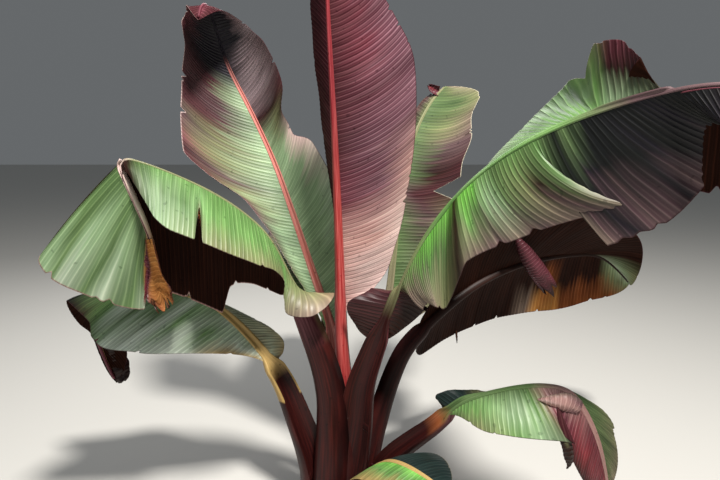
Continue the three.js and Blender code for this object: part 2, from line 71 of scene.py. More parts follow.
# How finely the leaves are worked out.
STEP = 4  # walk along the rib
VEIN_STEPS = 40  # walk along one vein
BLADE_STATION = 2.4  # spacing of sections along a blade
STALK_STATION = 7  # and along a stalk and its midrib
HEART_STATION = 8
HEART_SIDES = 48
STRIP_ROWS = 12  # sections along a torn strip, at least
STRIP_COLUMNS = 19  # points across it
CRUMPLE_ROWS = 7  # sections to one crumple
CRUMPLE_COLUMNS = 6  # crumples across it
SHARES = [  # of half a blade, from its midrib to its margin
    0, 0.02, 0.045, 0.08, 0.13, 0.19, 0.26, 0.34, 0.42, 0.5, 0.58, 0.66, 0.74, 0.82, 0.89, 0.95,
    0.985, 1,
]
EDGE_SHARE = 0.985  # the edge of a blade, in its own tone, begins here
RING_SHARES = [0, 0.12, 0.25, 0.38, 0.5, 0.62, 0.74, 0.84, 0.92, 0.97, 1]  # of half a stalk
RIM_SHARE = 0.86  # the rim of a stalk, where it has its own tone, begins here
RIM_START = -0.1  # share of the blade, below 0 on the stalk
TUCK = np.array([6, 12])  # where a stalk and its sheath run on inside each other at the fork
TUCK_DEPTH = 0.04  # how far inside that is, one millimetre past the fork
TUCK_GROWTH = 1.2  # above 1 it gets deeper faster further on

# Section of a stalk, in shares of its half width.
CHANNEL_FLOOR = 0.15
CHANNEL_RISE = 0.5
KEEL_DEPTH = 1.5
KEEL_EDGE = 0.02  # opens the keel a little at its rim
RIDGE_RISE = 0.9  # of the upper side of the midrib
RIDGE_STAND = 0.9  # millimetres by which that side stands clear of the blade
KEEL_PINCH = 0.25  # how much slimmer the keel is under the blade

# Grain of a stalk.
GRAIN_LENGTH = 160.0
GRAIN_LINES = 9.0  # from the middle to the rim

# Relief of a blade.
VEIN_SPACING = 12
VEIN_DEPTH = 0.6
PLEAT_REACH = (0.02, 0.2)  # shares of half a blade between which the pleats set in
PLEAT_START = 1.15  # how deep they are by the midrib, of VEIN_DEPTH
PLEAT_LOSS = 0.4  # and how much less at the margin
WANDER_LENGTH = 60.0  # of rib over which the veins drift once
WANDER_TURNS = 1.5  # drifts between the midrib and the margin
WANDER_DEPTH = 9.0
UNEVEN_LENGTH = 35.0  # of rib from deep pleats to shallow ones
UNEVEN_TURNS = 2.5
UNEVEN_SEED = 40.0
SWAY_REACH = (0.0, 0.8)  # shares of half a blade between which the sway sets in
SWAY_LENGTH = 170  # from one wave of the margin to the next
SWAY_TURNS = 0.8
SWAY_DEPTH = 7
STRIP_SWAY = 2

# Short splits of the margins.
NICK_SPACING = 120  # from one to the next
NICK_PLACES = (0.08, 0.92)  # shares of the blade between which they lie
NICK_WIDTHS = (0.008, 0.016)  # also in shares of the blade
NICK_LEFT = (0.93, 0.99)  # share of the half width that is left

# Streaks of tone along a blade: (strength, length of blade from one value to the next)
STREAKS_ACROSS = [(0.16, 6), (0.12, 40)]  # shift the tones between the midrib and the margin
STREAKS_ALONG = [(0.012, 25)]  # and along the blade
STREAKS_VEIN_GLINT = [(1, 7), (0.4, 50)]  # lighter streaks in the colour of the veins, which are also painted highlights on the ridges
STREAKS_LIGHT = [(0.18, 6), (0.2, 16), (0.14, 60)]  # make it all lighter or darker
VEIN_GLINT_SHOWS = 0.5  # most of that vein colour and painted highlight that comes through

# The solids have these rows too, with a wider tear in the folded leaf.
# foot: where the leaf base stands on the ground
# girth: how stout the base and the stalk are, 1 where it isn't stated
# fork: distance from the ground at which the stalk leaves the stem
# stalk: distance from the ground at which the blade begins
# blade, width: length of the blade and its half width
# shoulder, nose: shares of the blade over which it widens from its base and narrows to its tip
# round: below 1 the shoulder is blunter
# rib: (distance from the ground, slope, bearing)
# left, right: direction of the veins, as (share of the blade, slope and bearing at the rib, slope
# and bearing at the margin)
# left_wide, right_wide: (share of the blade, share of the half width)
# left_tears, right_tears: (share of the blade, width of the tear as a share of the blade, share of
# the half width that is left at its middle)
LEAVES = [
    dict(
        name="leaf_tall_left", foot=(-11, 11),
        fork=300, stalk=480, blade=1290, width=290, shoulder=0.3, nose=0.3,
        rib=[
            (0, 86, 71), (250, 81, 113), (430, 83, 119), (600, 71, 159), (800, 66, 144),
            (1000, 66, 146), (1200, 64, 163), (1360, 63, 178), (1500, 69, 229), (1600, 40, 268),
            (1680, -10, 268), (1770, -70, 268),
        ],
        left=[
            (0, 20, 190, 30, 200), (0.3, 5, 190, 35, 200), (0.41, 5, 190, 45, 200),
            (0.58, 8, 190, 55, 205), (0.69, 12, 195, 60, 235), (0.76, 15, 200, 50, 250),
            (0.87, 0, 210, 20, 240), (1, -20, 210, -60, 240),
        ],
        left_wide=[
            (0, 0.3), (0.25, 0.36), (0.3, 0.46), (0.34, 0.6), (0.37, 1), (0.4, 1.22), (0.46, 1.18),
            (0.58, 0.99), (0.69, 0.77), (0.76, 0.66), (0.87, 0.45), (1, 0.45),
        ],
        right=[
            (0, 40, -15, 50, -20), (0.3, 45, -15, 65, -20), (0.45, 60, -20, 80, -30),
            (0.52, 55, -30, 60, -60), (0.58, 40, -25, 65, -40), (0.68, 35, -20, 50, -60),
            (0.8, 10, -20, 30, -40), (0.9, 0, -10, -20, -20), (1, -20, -10, -60, -20),
        ],
        right_wide=[
            (0, 0.7), (0.38, 0.72), (0.45, 0.52), (0.52, 0.48), (0.6, 0.6), (0.68, 0.64), (0.8, 0.5),
            (0.9, 0.4), (1, 0.5),
        ],
    ),
    dict(
        name="leaf_upright", foot=(13, 5), girth=0.6,
        fork=330, stalk=620, blade=973, width=255, shoulder=0.5, nose=0.45, round=0.6,
        rib=[
            (0, 90, -136), (200, 89, -136), (400, 85, -136), (600, 83, -93), (850, 80, -96),
            (1100, 78, -98), (1593, 88, -120),
        ],
        left=[
            (0, -5, 20, 10, 10), (0.12, 5, 22, 25, 15), (0.5, 12, 20, 48, 12), (1, 20, 15, 55, 5),
        ],
        left_wide=[
            (0, 1), (0.08, 1.3), (0.15, 1.16), (0.3, 1.07), (0.6, 1.09), (0.75, 1.01), (1, 1),
        ],
        right=[(0, 50, 140, 40, 130), (0.5, 35, 125, 30, 115), (1, 40, 130, 30, 115)],
        right_wide=[
            (0, 0.1), (0.25, 0.1), (0.33, 0.16), (0.42, 0.28), (0.52, 0.38), (0.63, 0.48),
            (0.77, 0.62), (0.88, 0.86), (1, 0.85),
        ],
    ),
    dict(
        name="leaf_folded_left", foot=(-35, -48),
        fork=260, stalk=640, blade=1100, width=340, shoulder=0.15, nose=0.35, round=0.6,
        rib=[
            (0, 85, -15), (150, 89, -42), (300, 88, -114), (420, 78, -167), (560, 70, -164),
            (700, 70, -158), (850, 63, -158), (960, 44, -161), (1120, 29, -155), (1300, 17, -154),
            (1360, -116, -202), (1470, -109, -170), (1570, -103, -120), (1740, -106, -106),
        ],
        left=[
            (0, 30, -10, 10, -15), (0.04, 35, -15, 0, -25), (0.075, 20, -50, -70, -80),
            (0.12, 0, -80, -85, -105), (0.16, -20, -75, -80, -90), (0.2, -30, -65, -60, -65),
            (0.3, -25, -70, -55, -75), (0.5, -25, -75, -55, -80), (0.6, -30, -60, -60, -60),
            (0.7, -60, -40, -80, -30), (1, -80, -40, -85, -40),
        ],
        left_wide=[
            (0, 0.5), (0.04, 0.57), (0.075, 0.5), (0.12, 0.42), (0.16, 0.36), (0.2, 0.33),
            (0.24, 0.38), (0.3, 0.5), (0.4, 0.57), (0.5, 0.58), (0.56, 0.53), (0.6, 0.35),
            (0.63, 0.08), (1, 0.15),
        ],
        left_tears=[(0.445, 0.016, 0.35)],
        right=[
            (0, -20, 120, -30, 120), (0.1, -50, 118, -75, 115), (0.3, -65, 114, -88, 110),
            (0.608, -70, 114, -88, 110), (0.626, -44, 202, -54, 200), (0.72, -58, 198, -62, 198),
            (0.8, -82, 190, -86, 190), (1, -80, 200, -85, 215),
        ],
        right_wide=[
            (0, 0.15), (0.1, 0.2), (0.16, 0.35), (0.24, 0.51), (0.3, 0.6), (0.36, 0.74), (0.39, 1.04),
            (0.5, 1.02), (0.608, 1), (0.626, 0.88), (0.66, 0.88), (0.72, 0.81), (0.8, 0.71),
            (0.82, 0.15), (1, 0.2),
        ],
        right_tears=[(0.617, 0.016, 0.2)],
    ),
    dict(
        name="leaf_low_left", foot=(-58, -55),
        fork=120, stalk=470, blade=930, width=248, shoulder=0.3, nose=0.4,
        rib=[
            (0, 77, -171), (120, 78, -172), (240, 72, -178), (360, 70, -184), (480, 57, -186),
            (600, 48, -186), (720, 37, -186), (800, 17, -184), (880, 11, -182), (960, 5, -182),
            (1040, -5, -180), (1125, -55, -181), (1200, -98, -180), (1400, -112, -178),
        ],
        left=[
            (0, -20, -115, -30, -120), (0.1, -20, -125, -30, -140), (0.25, -20, -135, -32, -155),
            (0.4, -25, -140, -38, -160), (0.55, -25, -150, -45, -170), (0.66, -10, -170, -25, -180),
            (0.75, -35, -180, -55, -180), (0.82, -60, -180, -80, -180), (1, -85, -180, -88, -180),
        ],
        left_wide=[
            (0, 0.15), (0.1, 0.4), (0.2, 0.7), (0.3, 0.97), (0.4, 1.04), (0.48, 0.92), (0.55, 0.68),
            (0.66, 0.48), (0.75, 0.27), (0.82, 0.12), (0.9, 0.2), (1, 0.3),
        ],
        right=[
            (0, 10, 20, 0, 20), (0.15, 0, 20, -10, 10), (0.3, -15, 25, -25, 20),
            (0.5, -10, 60, -40, 60), (0.65, -30, 30, -60, 30), (0.75, -35, 10, -50, 0),
            (0.85, -40, 10, -60, 0), (1, -70, 20, -80, 0),
        ],
        right_wide=[
            (0, 0.8), (0.1, 0.65), (0.17, 0.48), (0.25, 0.36), (0.32, 0.33), (0.5, 0.4), (0.65, 0.5),
            (0.75, 0.62), (0.82, 0.74), (0.9, 0.8), (1, 0.85),
        ],
    ),
    dict(
        name="leaf_back_right", foot=(30, 59), girth=0.8,
        fork=260, stalk=480, blade=960, width=285, shoulder=0.35, nose=0.12,
        rib=[
            (0, 86, 82), (280, 75, 36), (500, 65, 43), (700, 74, 64), (900, 73, 66), (1100, 65, 57),
            (1300, 56, 37), (1440, 42, 11),
        ],
        left=[(0, 35, 160, 30, 160), (0.5, 35, 160, 20, 160), (1, 30, 120, 20, 120)],
        left_wide=[(0, 0.12), (0.3, 0.05), (0.5, 0.15), (1, 0.15)],
        right=[
            (0, 10, -8, 10, -8), (0.1, 5, -8, 5, -8), (0.3, 0, -14, 8, -14), (0.44, -5, -20, 10, -20),
            (0.62, -15, -20, 30, -15), (0.82, -15, -20, 35, -15), (1, 0, -20, 20, -10),
        ],
        right_wide=[
            (0, 0.9), (0.1, 1.06), (0.2, 0.78), (0.44, 0.75), (0.62, 0.72), (0.71, 0.77),
            (0.82, 0.68), (1, 0.66),
        ],
        right_tears=[(0.54, 0.08, 0.55)],
    ),
    dict(
        name="leaf_great_right", foot=(7, -49), girth=1.15,
        fork=280, stalk=545, blade=1505, width=340, shoulder=0.15, nose=0.25, round=0.6,
        rib=[
            (0, 87, -9), (180, 80, -8), (330, 84, -19), (470, 71, -10), (640, 69, -32),
            (860, 59, -46), (1020, 50, -35), (1200, 33, -49), (1400, 20, -44), (1600, 9, -49),
            (1690, -4, -42), (1790, -70, -45), (2050, -85, -50),
        ],
        left=[
            (0, 22, 178, 22, 180), (0.08, 10, 178, 10, 180), (0.11, 5, 150, 5, 150),
            (0.14, -40, 60, -60, 50), (0.25, -40, 80, -50, 90), (0.4, -20, 86, -24, 88),
            (0.47, -8, 86, -8, 88), (0.54, 3, 86, 4, 88), (0.6, 20, 88, 38, 95),
            (0.62, 70, 100, 80, 120), (0.65, 80, 120, 80, 170), (0.69, 60, 150, 60, 160),
            (0.72, -60, 60, -80, 60), (1, -80, 40, -85, 40),
        ],
        left_wide=[
            (0, 0.9), (0.02, 0.6), (0.05, 0.5), (0.08, 0.42), (0.11, 0.25), (0.14, 0.25), (0.3, 0.6),
            (0.47, 0.75), (0.54, 0.7), (0.6, 0.45), (0.65, 0.35), (0.69, 0.22), (0.74, 0.6), (1, 0.7),
        ],
        left_tears=[(0.61, 0.015, 0.6), (0.7, 0.02, 0.9)],
        right=[
            (0, 0, -30, -20, -35), (0.05, 10, -35, -35, -35), (0.1, 10, -40, -25, -30),
            (0.175, -70, -95, -25, -30), (0.235, -80, -100, -45, -40), (0.29, -85, -100, -75, -60),
            (0.322, -86, -100, -84, -70), (0.345, -55, -95, -65, -55), (0.41, -55, -85, -40, -25),
            (0.47, -60, -75, -15, -20), (0.505, -55, -65, 2, -15), (0.525, -65, -60, -45, -25),
            (0.57, -58, -55, -40, -20), (0.62, -45, -45, -25, -15), (0.68, -35, -40, -15, -10),
            (0.75, -60, -60, -70, -60), (1, -80, -80, -85, -80),
        ],
        right_wide=[
            (0, 0.2), (0.05, 0.28), (0.1, 0.34), (0.175, 0.38), (0.235, 0.54), (0.29, 0.69),
            (0.322, 0.79), (0.345, 0.52), (0.41, 0.59), (0.47, 0.7), (0.505, 0.9), (0.525, 0.84),
            (0.57, 0.84), (0.62, 0.72), (0.68, 0.62), (0.75, 0.5), (0.85, 0.35), (1, 0.4),
        ],
        right_tears=[(0.514, 0.014, 0.5)],
    ),
    dict(
        name="leaf_under_right", foot=(43, 16), girth=0.8,
        fork=200, stalk=560, blade=940, width=270, shoulder=0.12, nose=0.35,
        rib=[
            (0, 85, 31), (150, 71, 31), (300, 69, 27), (420, 63, 22), (560, 40, 18), (735, 31, 23),
            (916, 19, 17), (1118, 6, 16), (1276, -4, 17), (1390, -37, 6), (1500, -50, 0),
        ],
        left=[(0, -40, 110, -60, 100), (0.5, -50, 100, -70, 90), (1, -60, 60, -80, 60)],
        right=[
            (0, 80, -60, 60, -60), (0.2, 75, -75, 60, -60), (0.36, 65, -70, 50, -60),
            (0.52, 46, -60, 38, -50), (0.75, 20, -50, 0, -40), (0.85, -10, -50, -30, -50),
            (1, -50, -50, -60, -40),
        ],
        right_wide=[
            (0, 0.5), (0.1, 0.68), (0.2, 0.78), (0.36, 0.86), (0.52, 1), (0.6, 1), (0.8, 0.75),
            (1, 0.6),
        ],
    ),
    dict(
        name="leaf_low_right", foot=(61, -23), girth=0.75,
        fork=110, stalk=430, blade=710, width=210, shoulder=0.25, nose=0.4,
        rib=[
            (0, 59, -24), (120, 60, -24), (240, 47, -29), (340, 44, -28), (440, 51, -28),
            (560, 29, -25), (680, 21, -28), (760, 8, -28), (840, -50, -17), (940, -66, 3),
            (1060, -73, 23), (1140, -75, 25),
        ],
        left=[
            (0, 25, 150, 25, 155), (0.1, 25, 145, 25, 150), (0.17, 10, 90, 0, 90),
            (0.22, -10, 60, -30, 60), (0.4, -10, 40, -30, 30), (0.5, -20, 10, -35, 0),
            (0.64, -35, 0, -45, 0), (1, -60, 20, -70, 20),
        ],
        left_wide=[
            (0, 0.9), (0.05, 0.8), (0.1, 0.45), (0.17, 0.22), (0.25, 0.4), (0.4, 0.5), (0.57, 0.6),
            (0.64, 0.5), (1, 0.5),
        ],
        right=[
            (0, -10, -110, -30, -100), (0.3, -20, -105, -50, -90), (0.45, -30, -75, -60, -50),
            (0.52, -50, -120, -70, -130), (1, -65, -150, -75, -150),
        ],
        right_wide=[
            (0, 0.2), (0.1, 0.36), (0.2, 0.55), (0.3, 0.65), (0.4, 0.73), (0.45, 0.76), (0.5, 0.5),
            (0.6, 0.6), (1, 0.7),
        ],
    ),
    dict(
        name="leaf_young_front", foot=(44, -92), girth=0.6,
        fork=60, stalk=130, blade=400, width=110, shoulder=0.25, nose=0.45,
        rib=[(0, 66, -65), (176, 60, -62), (284, 40, -57), (383, 10, -50), (530, -20, -40)],
        left=[(0, 10, 30, -10, 30), (1, 0, 30, -30, 30)],
        left_wide=[(0, 0.6), (0.4, 1.3), (1, 1.3)],
        right=[(0, 10, -150, -10, -150), (1, -10, -140, -40, -140)],
        right_wide=[(0, 0.5), (0.3, 0.8), (1, 1)],
    ),
    dict(
        name="leaf_back", foot=(-15, 95), girth=0.8,
        fork=300, stalk=560, blade=750, width=230, shoulder=0.2, nose=0.4,
        rib=[(0, 80, 110), (300, 74, 108), (600, 60, 102), (900, 32, 98), (1310, -20, 95)],
        left=[(0, 20, 180, 10, 180), (0.5, 0, 170, -30, 170), (1, -30, 140, -40, 140)],
        right=[(0, 20, 10, 10, 10), (0.5, 0, 20, -30, 20), (1, -30, 40, -40, 40)],
    ),
]

# Torn and dry strips.
# at: where it hangs from its leaf (half, share of the blade, share of the vein)
# course: (share of its length, slope, bearing)
# wide: (share of its length, half width)
# roll: arc over which it is rolled across, in degrees, below 0 with the edges towards the viewer
# crumple: depth of its crumples
# ragged: share of its length by which the end is torn, RAGGED where it isn't stated
RAGGED = 0.22
STRIPS = [
    dict(
        name="dry_tip", leaf="leaf_folded_left", at=("left", 0.8, 0.5), length=195,
        course=[(0, -82, 0), (0.6, -80, 20), (1, -60, -10)],
        wide=[(0, 12), (0.4, 18), (0.75, 42), (1, 34)], roll=-150, crumple=11,
        tones=[(0, "amber amber garnet"), (0.6, "amber amber garnet"), (1, "amber rust umber")],
    ),
    dict(
        name="red_fold", leaf="leaf_folded_left", at=("left", 0.8, 0.5), length=180,
        course=[(0, -78, 185), (1, -88, 185)],
        wide=[(0, 8), (0.5, 16), (1, 14)], roll=200, crumple=6,
        tones=[(0, "garnet"), (1, "crimson garnet garnet")],
    ),
    dict(
        name="torn_shred", leaf="leaf_folded_left", at=("left", 0.445, 0.9), length=95,
        course=[(0, -84, -60), (1, -70, -20)],
        wide=[(0, 9), (0.7, 7), (1, 3)], roll=-160, crumple=5,
        tones=[(0, "rust amber garnet"), (1, "garnet rust umber")],
    ),
    dict(
        name="hanging_tongue", leaf="leaf_low_left", at=("right", 0.8, 0.15), length=185,
        course=[(0, -76, 10), (0.6, -72, 0), (1, -50, -30)],
        wide=[(0, 22), (0.3, 42), (0.7, 46), (0.9, 36), (0.97, 22), (1, 8)], roll=110, crumple=7,
        ragged=0.03,
        tones=[(0, "umber umber wine"), (1, "umber")],
    ),
    dict(
        name="red_roll", leaf="leaf_under_right", at=("right", 0.35, 0.85), length=285,
        course=[(0, -48, -50), (0.2, -56, -10), (0.5, -52, 14), (1, -50, 22)],
        wide=[(0, 10), (0.12, 32), (0.28, 62), (0.6, 80), (1, 72)], roll=310, crumple=3,
        tones=[(0, "wine"), (0.5, "garnet wine wine"), (0.8, "wine garnet garnet"), (1, "umber")],
    ),
    dict(
        name="dry_spike", leaf="leaf_under_right", at=("left", 0.27, 0.95), length=52,
        course=[(0, -80, 0), (1, -88, 0)],
        wide=[(0, 8), (0.5, 6), (1, 1)], roll=200, crumple=2,
        tones=[(0, "rust umber umber"), (1, "umber")],
    ),
    dict(
        name="tan_fold", leaf="leaf_low_right", at=("right", 0.4, 0.3), length=118,
        course=[(0, 14, -60), (0.5, -4, -15), (1, -40, 20)],
        wide=[(0, 3), (0.35, 22), (0.7, 34), (1, 30)], roll=150, crumple=1, ragged=0.03,
        tones=[(0, "blush rose taupe"), (0.6, "rose rose taupe"), (1, "rose plum taupe")],
    ),
    dict(
        name="dark_point", leaf="leaf_low_right", at=("right", 0.425, 0.92), length=95,
        course=[(0, -60, -50), (0.5, -80, 0), (1, -60, 160)],
        wide=[(0, 16), (0.5, 15), (1, 3)], roll=120, crumple=3, ragged=0.05,
        tones=[(0, "olive umber umber"), (0.3, "umber"), (1, "umber umber wine")],
    ),
    dict(
        name="red_curl", leaf="leaf_back_right", at=("left", 0.97, 0.1), length=52,
        course=[(0, 10, 175), (1, 50, 170)],
        wide=[(0, 22), (0.6, 18), (1, 5)], roll=-150, crumple=3,
        tones=[(0, "garnet"), (1, "crimson wine wine")],
    ),
]

# Tones: the tissue of a leaf, and the veins that run over it. Those marked below stand in part or in
# whole for painted light or shade.
TONES = {
    "meadow": ((88, 132, 66), (132, 168, 104)),
    # Painted sunlight: green as it glows with the sun shining through it.
    "bright": ((96, 176, 60), (140, 206, 96)),
    "mint": ((132, 162, 120), (176, 198, 160)),
    # Pale grey-green, used mostly as painted glare, painted sheen and painted light on leaves in shade.
    "pale": ((160, 176, 154), (198, 206, 184)),
    # Painted glare on glossy tissue.
    "silver": ((196, 210, 190), (224, 232, 218)),
    "moss": ((70, 98, 54), (112, 134, 88)),
    "olive": ((114, 118, 82), (150, 150, 108)),
    "taupe": ((122, 102, 94), (166, 148, 130)),
    "mauve": ((76, 50, 58), (126, 104, 102)),
    # Mauve under a painted satin sheen.
    "lilac": ((148, 126, 132), (176, 156, 160)),
    "wine": ((58, 22, 30), (92, 54, 56)),
    # Painted shadow over burgundy tissue.
    "ink": ((16, 12, 22), (40, 34, 44)),
    # Painted shadow, nearly black.
    "black": ((3, 4, 4), (24, 26, 25)),
    # Painted shade over green tissue.
    "teal": ((16, 30, 30), (38, 54, 50)),
    # Dark brown of dry tissue, and painted shade on under sides and on leaves lying in the shade of
    # others.
    "umber": ((30, 12, 6), (50, 24, 15)),
    "garnet": ((82, 20, 34), (142, 88, 98)),
    "plum": ((86, 44, 60), (164, 126, 136)),
    "rose": ((170, 124, 120), (216, 178, 168)),
    "blush": ((206, 172, 168), (236, 210, 202)),
    "cream": ((214, 204, 176), (228, 220, 198)),
    "amber": ((216, 140, 68), (242, 184, 112)),
    "rust": ((140, 76, 42), (184, 112, 70)),
    "straw": ((166, 136, 82), (206, 176, 116)),
    # Stalk tissue, darkened in part to painted shade.
    "bark": ((34, 8, 8), (66, 20, 16)),
    "rosewood": ((190, 98, 90), (220, 158, 146)),
    "scarlet": ((160, 36, 38), (206, 108, 102)),
    "crimson": ((114, 20, 32), (172, 78, 82)),
}
DRY_TONES = {"amber", "rust", "straw"}

# left_upper and so on: (share of the blade, tones at the rib, halfway and at the margin), or one
# tone that all three have
# left_edge, right_edge: tone of the edge, wine where it isn't stated
# rib_upper, rib_under: (share of the blade, tone), with the stalk below 0
# rim: tone of the upper edges of the stalk and its midrib
PAINT = {
    # The curled tip is painted in shadow, its midrib too; the dark band under the wave is painted
    # shade, the lilac wave carries a painted sheen, and the pale near the lobe is painted light.
    "leaf_tall_left": dict(
        left_upper=[
            (0, "mint mint meadow"), (0.3, "mint mint mauve"), (0.37, "mint olive garnet"),
            (0.41, "mint mauve wine"), (0.44, "mint olive garnet"), (0.5, "mint olive mauve"),
            (0.55, "mint wine wine"), (0.6, "mint mauve wine"), (0.66, "mint wine wine"),
            (0.72, "ink ink wine"), (1, "ink ink garnet"),
        ],
        right_upper=[
            (0, "mint"), (0.3, "mint mint pale"), (0.4, "mint mint blush"),
            (0.48, "mint mint blush"), (0.54, "mint olive umber"), (0.6, "wine umber wine"),
            (0.66, "lilac lilac mauve"), (0.74, "ink lilac mauve"), (0.8, "ink ink lilac"),
            (1, "ink ink garnet"),
        ],
        left_edge="blush",
        rib_upper=[(-0.2, "rust"), (0, "rosewood"), (0.68, "rosewood"), (0.78, "ink")],
    ),
    "leaf_upright": dict(
        left_under=[
            (0, "rose rose blush"), (0.12, "rose blush blush"), (0.22, "rose rose blush"),
            (0.35, "garnet plum rose"), (0.5, "wine plum plum"), (0.75, "wine garnet plum"),
            (1, "wine wine garnet"),
        ],
        # The right half, turned away from the light, is painted darker: painted shade.
        right_under=[(0, "wine wine umber"), (1, "garnet wine wine")],
        rib_under=[(-0.3, "bark"), (-0.2, "scarlet"), (0.3, "scarlet"), (0.7, "crimson")],
    ),
    # The pale and mint bands across the hanging panel are painted sheen; the dark far end of the left
    # half and both under sides are painted shade.
    "leaf_folded_left": dict(
        left_upper=[
            (0, "olive olive straw"), (0.08, "olive olive taupe"), (0.16, "meadow meadow olive"),
            (0.4, "meadow meadow olive"), (0.55, "meadow mint mint"), (0.62, "umber"), (1, "umber"),
        ],
        right_upper=[
            (0, "moss"), (0.62, "moss"), (0.645, "moss moss mint"), (0.67, "moss"),
            (0.69, "moss mint pale"), (0.72, "moss"), (0.745, "moss mint pale"), (0.765, "moss"),
            (0.79, "moss moss pale"), (0.81, "amber rust rust"), (1, "rust amber rust"),
        ],
        left_under=[(0, "umber")],
        right_under=[(0, "umber")],
        right_edge="rose",
        rib_upper=[(-0.1, "bark"), (0, "olive"), (0.6, "olive"), (0.64, "blush"), (1, "rust")],
        rib_under=[
            (-0.1, "bark"), (0.05, "garnet"), (0.58, "garnet"), (0.62, "blush"), (0.76, "cream"),
            (0.84, "rust"), (1, "umber"),
        ],
    ),
    # The silver and pale bands are painted glare, and painted light on a leaf in shade; the near-black
    # towards the tip and the dark under sides are painted shade.
    "leaf_low_left": dict(
        left_upper=[
            (0, "straw silver straw"), (0.15, "mint silver straw"), (0.22, "silver meadow silver"),
            (0.27, "mint silver silver"), (0.31, "mint meadow silver"), (0.35, "silver"),
            (0.39, "mint moss silver"), (0.42, "meadow mint silver"), (0.45, "mint moss mint"),
            (0.49, "silver silver moss"), (0.53, "meadow meadow moss"), (0.57, "moss moss umber"),
            (0.65, "umber black black"), (1, "umber"),
        ],
        right_upper=[
            (0, "straw pale straw"), (0.3, "pale olive pale"), (0.45, "pale pale straw"),
            (0.55, "moss taupe umber"), (0.62, "umber"),
        ],
        left_under=[(0, "umber")],
        right_under=[(0, "umber")],
        rib_upper=[(-0.03, "bark"), (0.02, "straw"), (0.3, "straw"), (0.5, "olive")],
        rim="straw",
    ),
    # The dark band about the tear is painted shade in its hollow.
    "leaf_back_right": dict(
        right_upper=[
            (0, "olive taupe taupe"), (0.2, "moss moss olive"), (0.45, "moss mauve olive"),
            (0.54, "mauve wine wine"), (0.62, "moss umber wine"), (0.72, "moss mauve mauve"),
            (0.8, "moss olive taupe"), (0.9, "moss moss olive"), (1, "moss olive taupe"),
        ],
        left_edge="straw",
        right_edge="cream",
        rib_upper=[(-0.2, "bark"), (0, "taupe"), (0.4, "olive")],
        rib_under=[(-0.2, "bark"), (0, "taupe"), (0.4, "olive")],
    ),
    # The bright green is painted sunlight through the leaf; the dark line at the fold is painted shade
    # in the crease; the black and ink bands are painted shadow, and the mauve between them painted
    # highlights on the ridges.
    "leaf_great_right": dict(
        left_upper=[
            (0, "umber"), (0.12, "wine"), (0.3, "meadow meadow mint"), (0.5, "meadow meadow mint"),
            (0.6, "meadow"), (0.64, "mint umber garnet"), (0.7, "umber umber wine"),
            (1, "moss moss wine"),
        ],
        right_upper=[
            (0, "umber"), (0.12, "wine umber umber"), (0.17, "meadow taupe taupe"),
            (0.25, "bright moss taupe"), (0.32, "bright moss olive"), (0.334, "umber"),
            (0.35, "bright meadow taupe"), (0.38, "bright moss mauve"), (0.41, "meadow mint taupe"),
            (0.44, "moss moss mauve"), (0.47, "meadow olive taupe"), (0.49, "moss umber mauve"),
            (0.512, "meadow moss taupe"), (0.53, "moss black mauve"), (0.55, "black black ink"),
            (0.565, "moss ink mauve"), (0.58, "black black mauve"), (0.6, "black black ink"),
            (0.62, "black ink mauve"), (0.64, "black black ink"), (0.67, "ink ink mauve"),
            (0.69, "black black ink"), (0.72, "black ink wine"), (1, "umber umber wine"),
        ],
        left_under=[(0, "umber")],
        right_under=[(0, "umber")],
        rib_upper=[
            (0.06, "bark"), (0.14, "olive"), (0.3, "meadow"), (0.55, "meadow"), (0.66, "mauve"),
        ],
    ),
    # The dark brown is painted shade from the great leaf above it; the garnet band is a painted sunlit
    # patch, the amber a painted glow of sun through the leaf, and the green tip painted light.
    "leaf_under_right": dict(
        left_upper=[
            (0, "umber"), (0.5, "umber"), (0.58, "umber wine taupe"), (0.63, "umber taupe amber"),
            (0.7, "umber amber amber"), (0.75, "umber umber rust"), (0.84, "olive olive rust"),
            (1, "mint mint olive"),
        ],
        left_under=[
            (0, "umber"), (0.5, "umber"), (0.56, "umber umber taupe"), (0.6, "umber umber amber"),
            (0.63, "umber rust amber"), (0.68, "umber umber amber"), (0.7, "umber umber rust"),
            (0.84, "umber umber rust"), (0.9, "mint olive rust"), (1, "pale mint olive"),
        ],
        right_under=[
            (0, "umber"), (0.8, "umber"), (0.87, "pale mint olive"), (1, "pale pale olive"),
        ],
        right_upper=[
            (0, "umber"), (0.4, "umber"), (0.44, "garnet"), (0.49, "garnet"), (0.52, "umber"),
            (0.8, "umber"), (0.88, "mint mint olive"),
        ],
        rib_upper=[(0, "bark"), (0.1, "umber")],
        rib_under=[(0, "bark"), (0.1, "umber")],
    ),
    # The dark teal is painted shade.
    "leaf_low_right": dict(
        left_upper=[
            (0, "teal"), (0.15, "teal"), (0.21, "teal olive olive"), (0.28, "moss meadow olive"),
            (0.45, "moss moss umber"), (0.55, "moss moss olive"), (1, "moss olive taupe"),
        ],
        right_upper=[
            (0, "rust taupe taupe"), (0.06, "meadow meadow moss"), (0.2, "moss meadow olive"),
            (0.34, "moss mint meadow"), (0.38, "moss meadow mint"), (0.44, "rose garnet umber"),
            (0.55, "rose garnet umber"), (0.7, "garnet crimson umber"), (1, "crimson garnet wine"),
        ],
        rib_upper=[(-0.1, "bark"), (-0.02, "rust"), (0.06, "moss"), (0.4, "moss"), (0.52, "rose")],
    ),
    # The teal half is painted shade and the bright half painted sunlight.
    "leaf_young_front": dict(
        left_upper=[(0, "teal"), (1, "teal")],
        right_upper=[(0, "bright meadow straw"), (1, "bright meadow straw")],
        left_edge="straw",
        right_edge="straw",
        rib_upper=[(-0.2, "bark"), (0, "straw")],
    ),
}

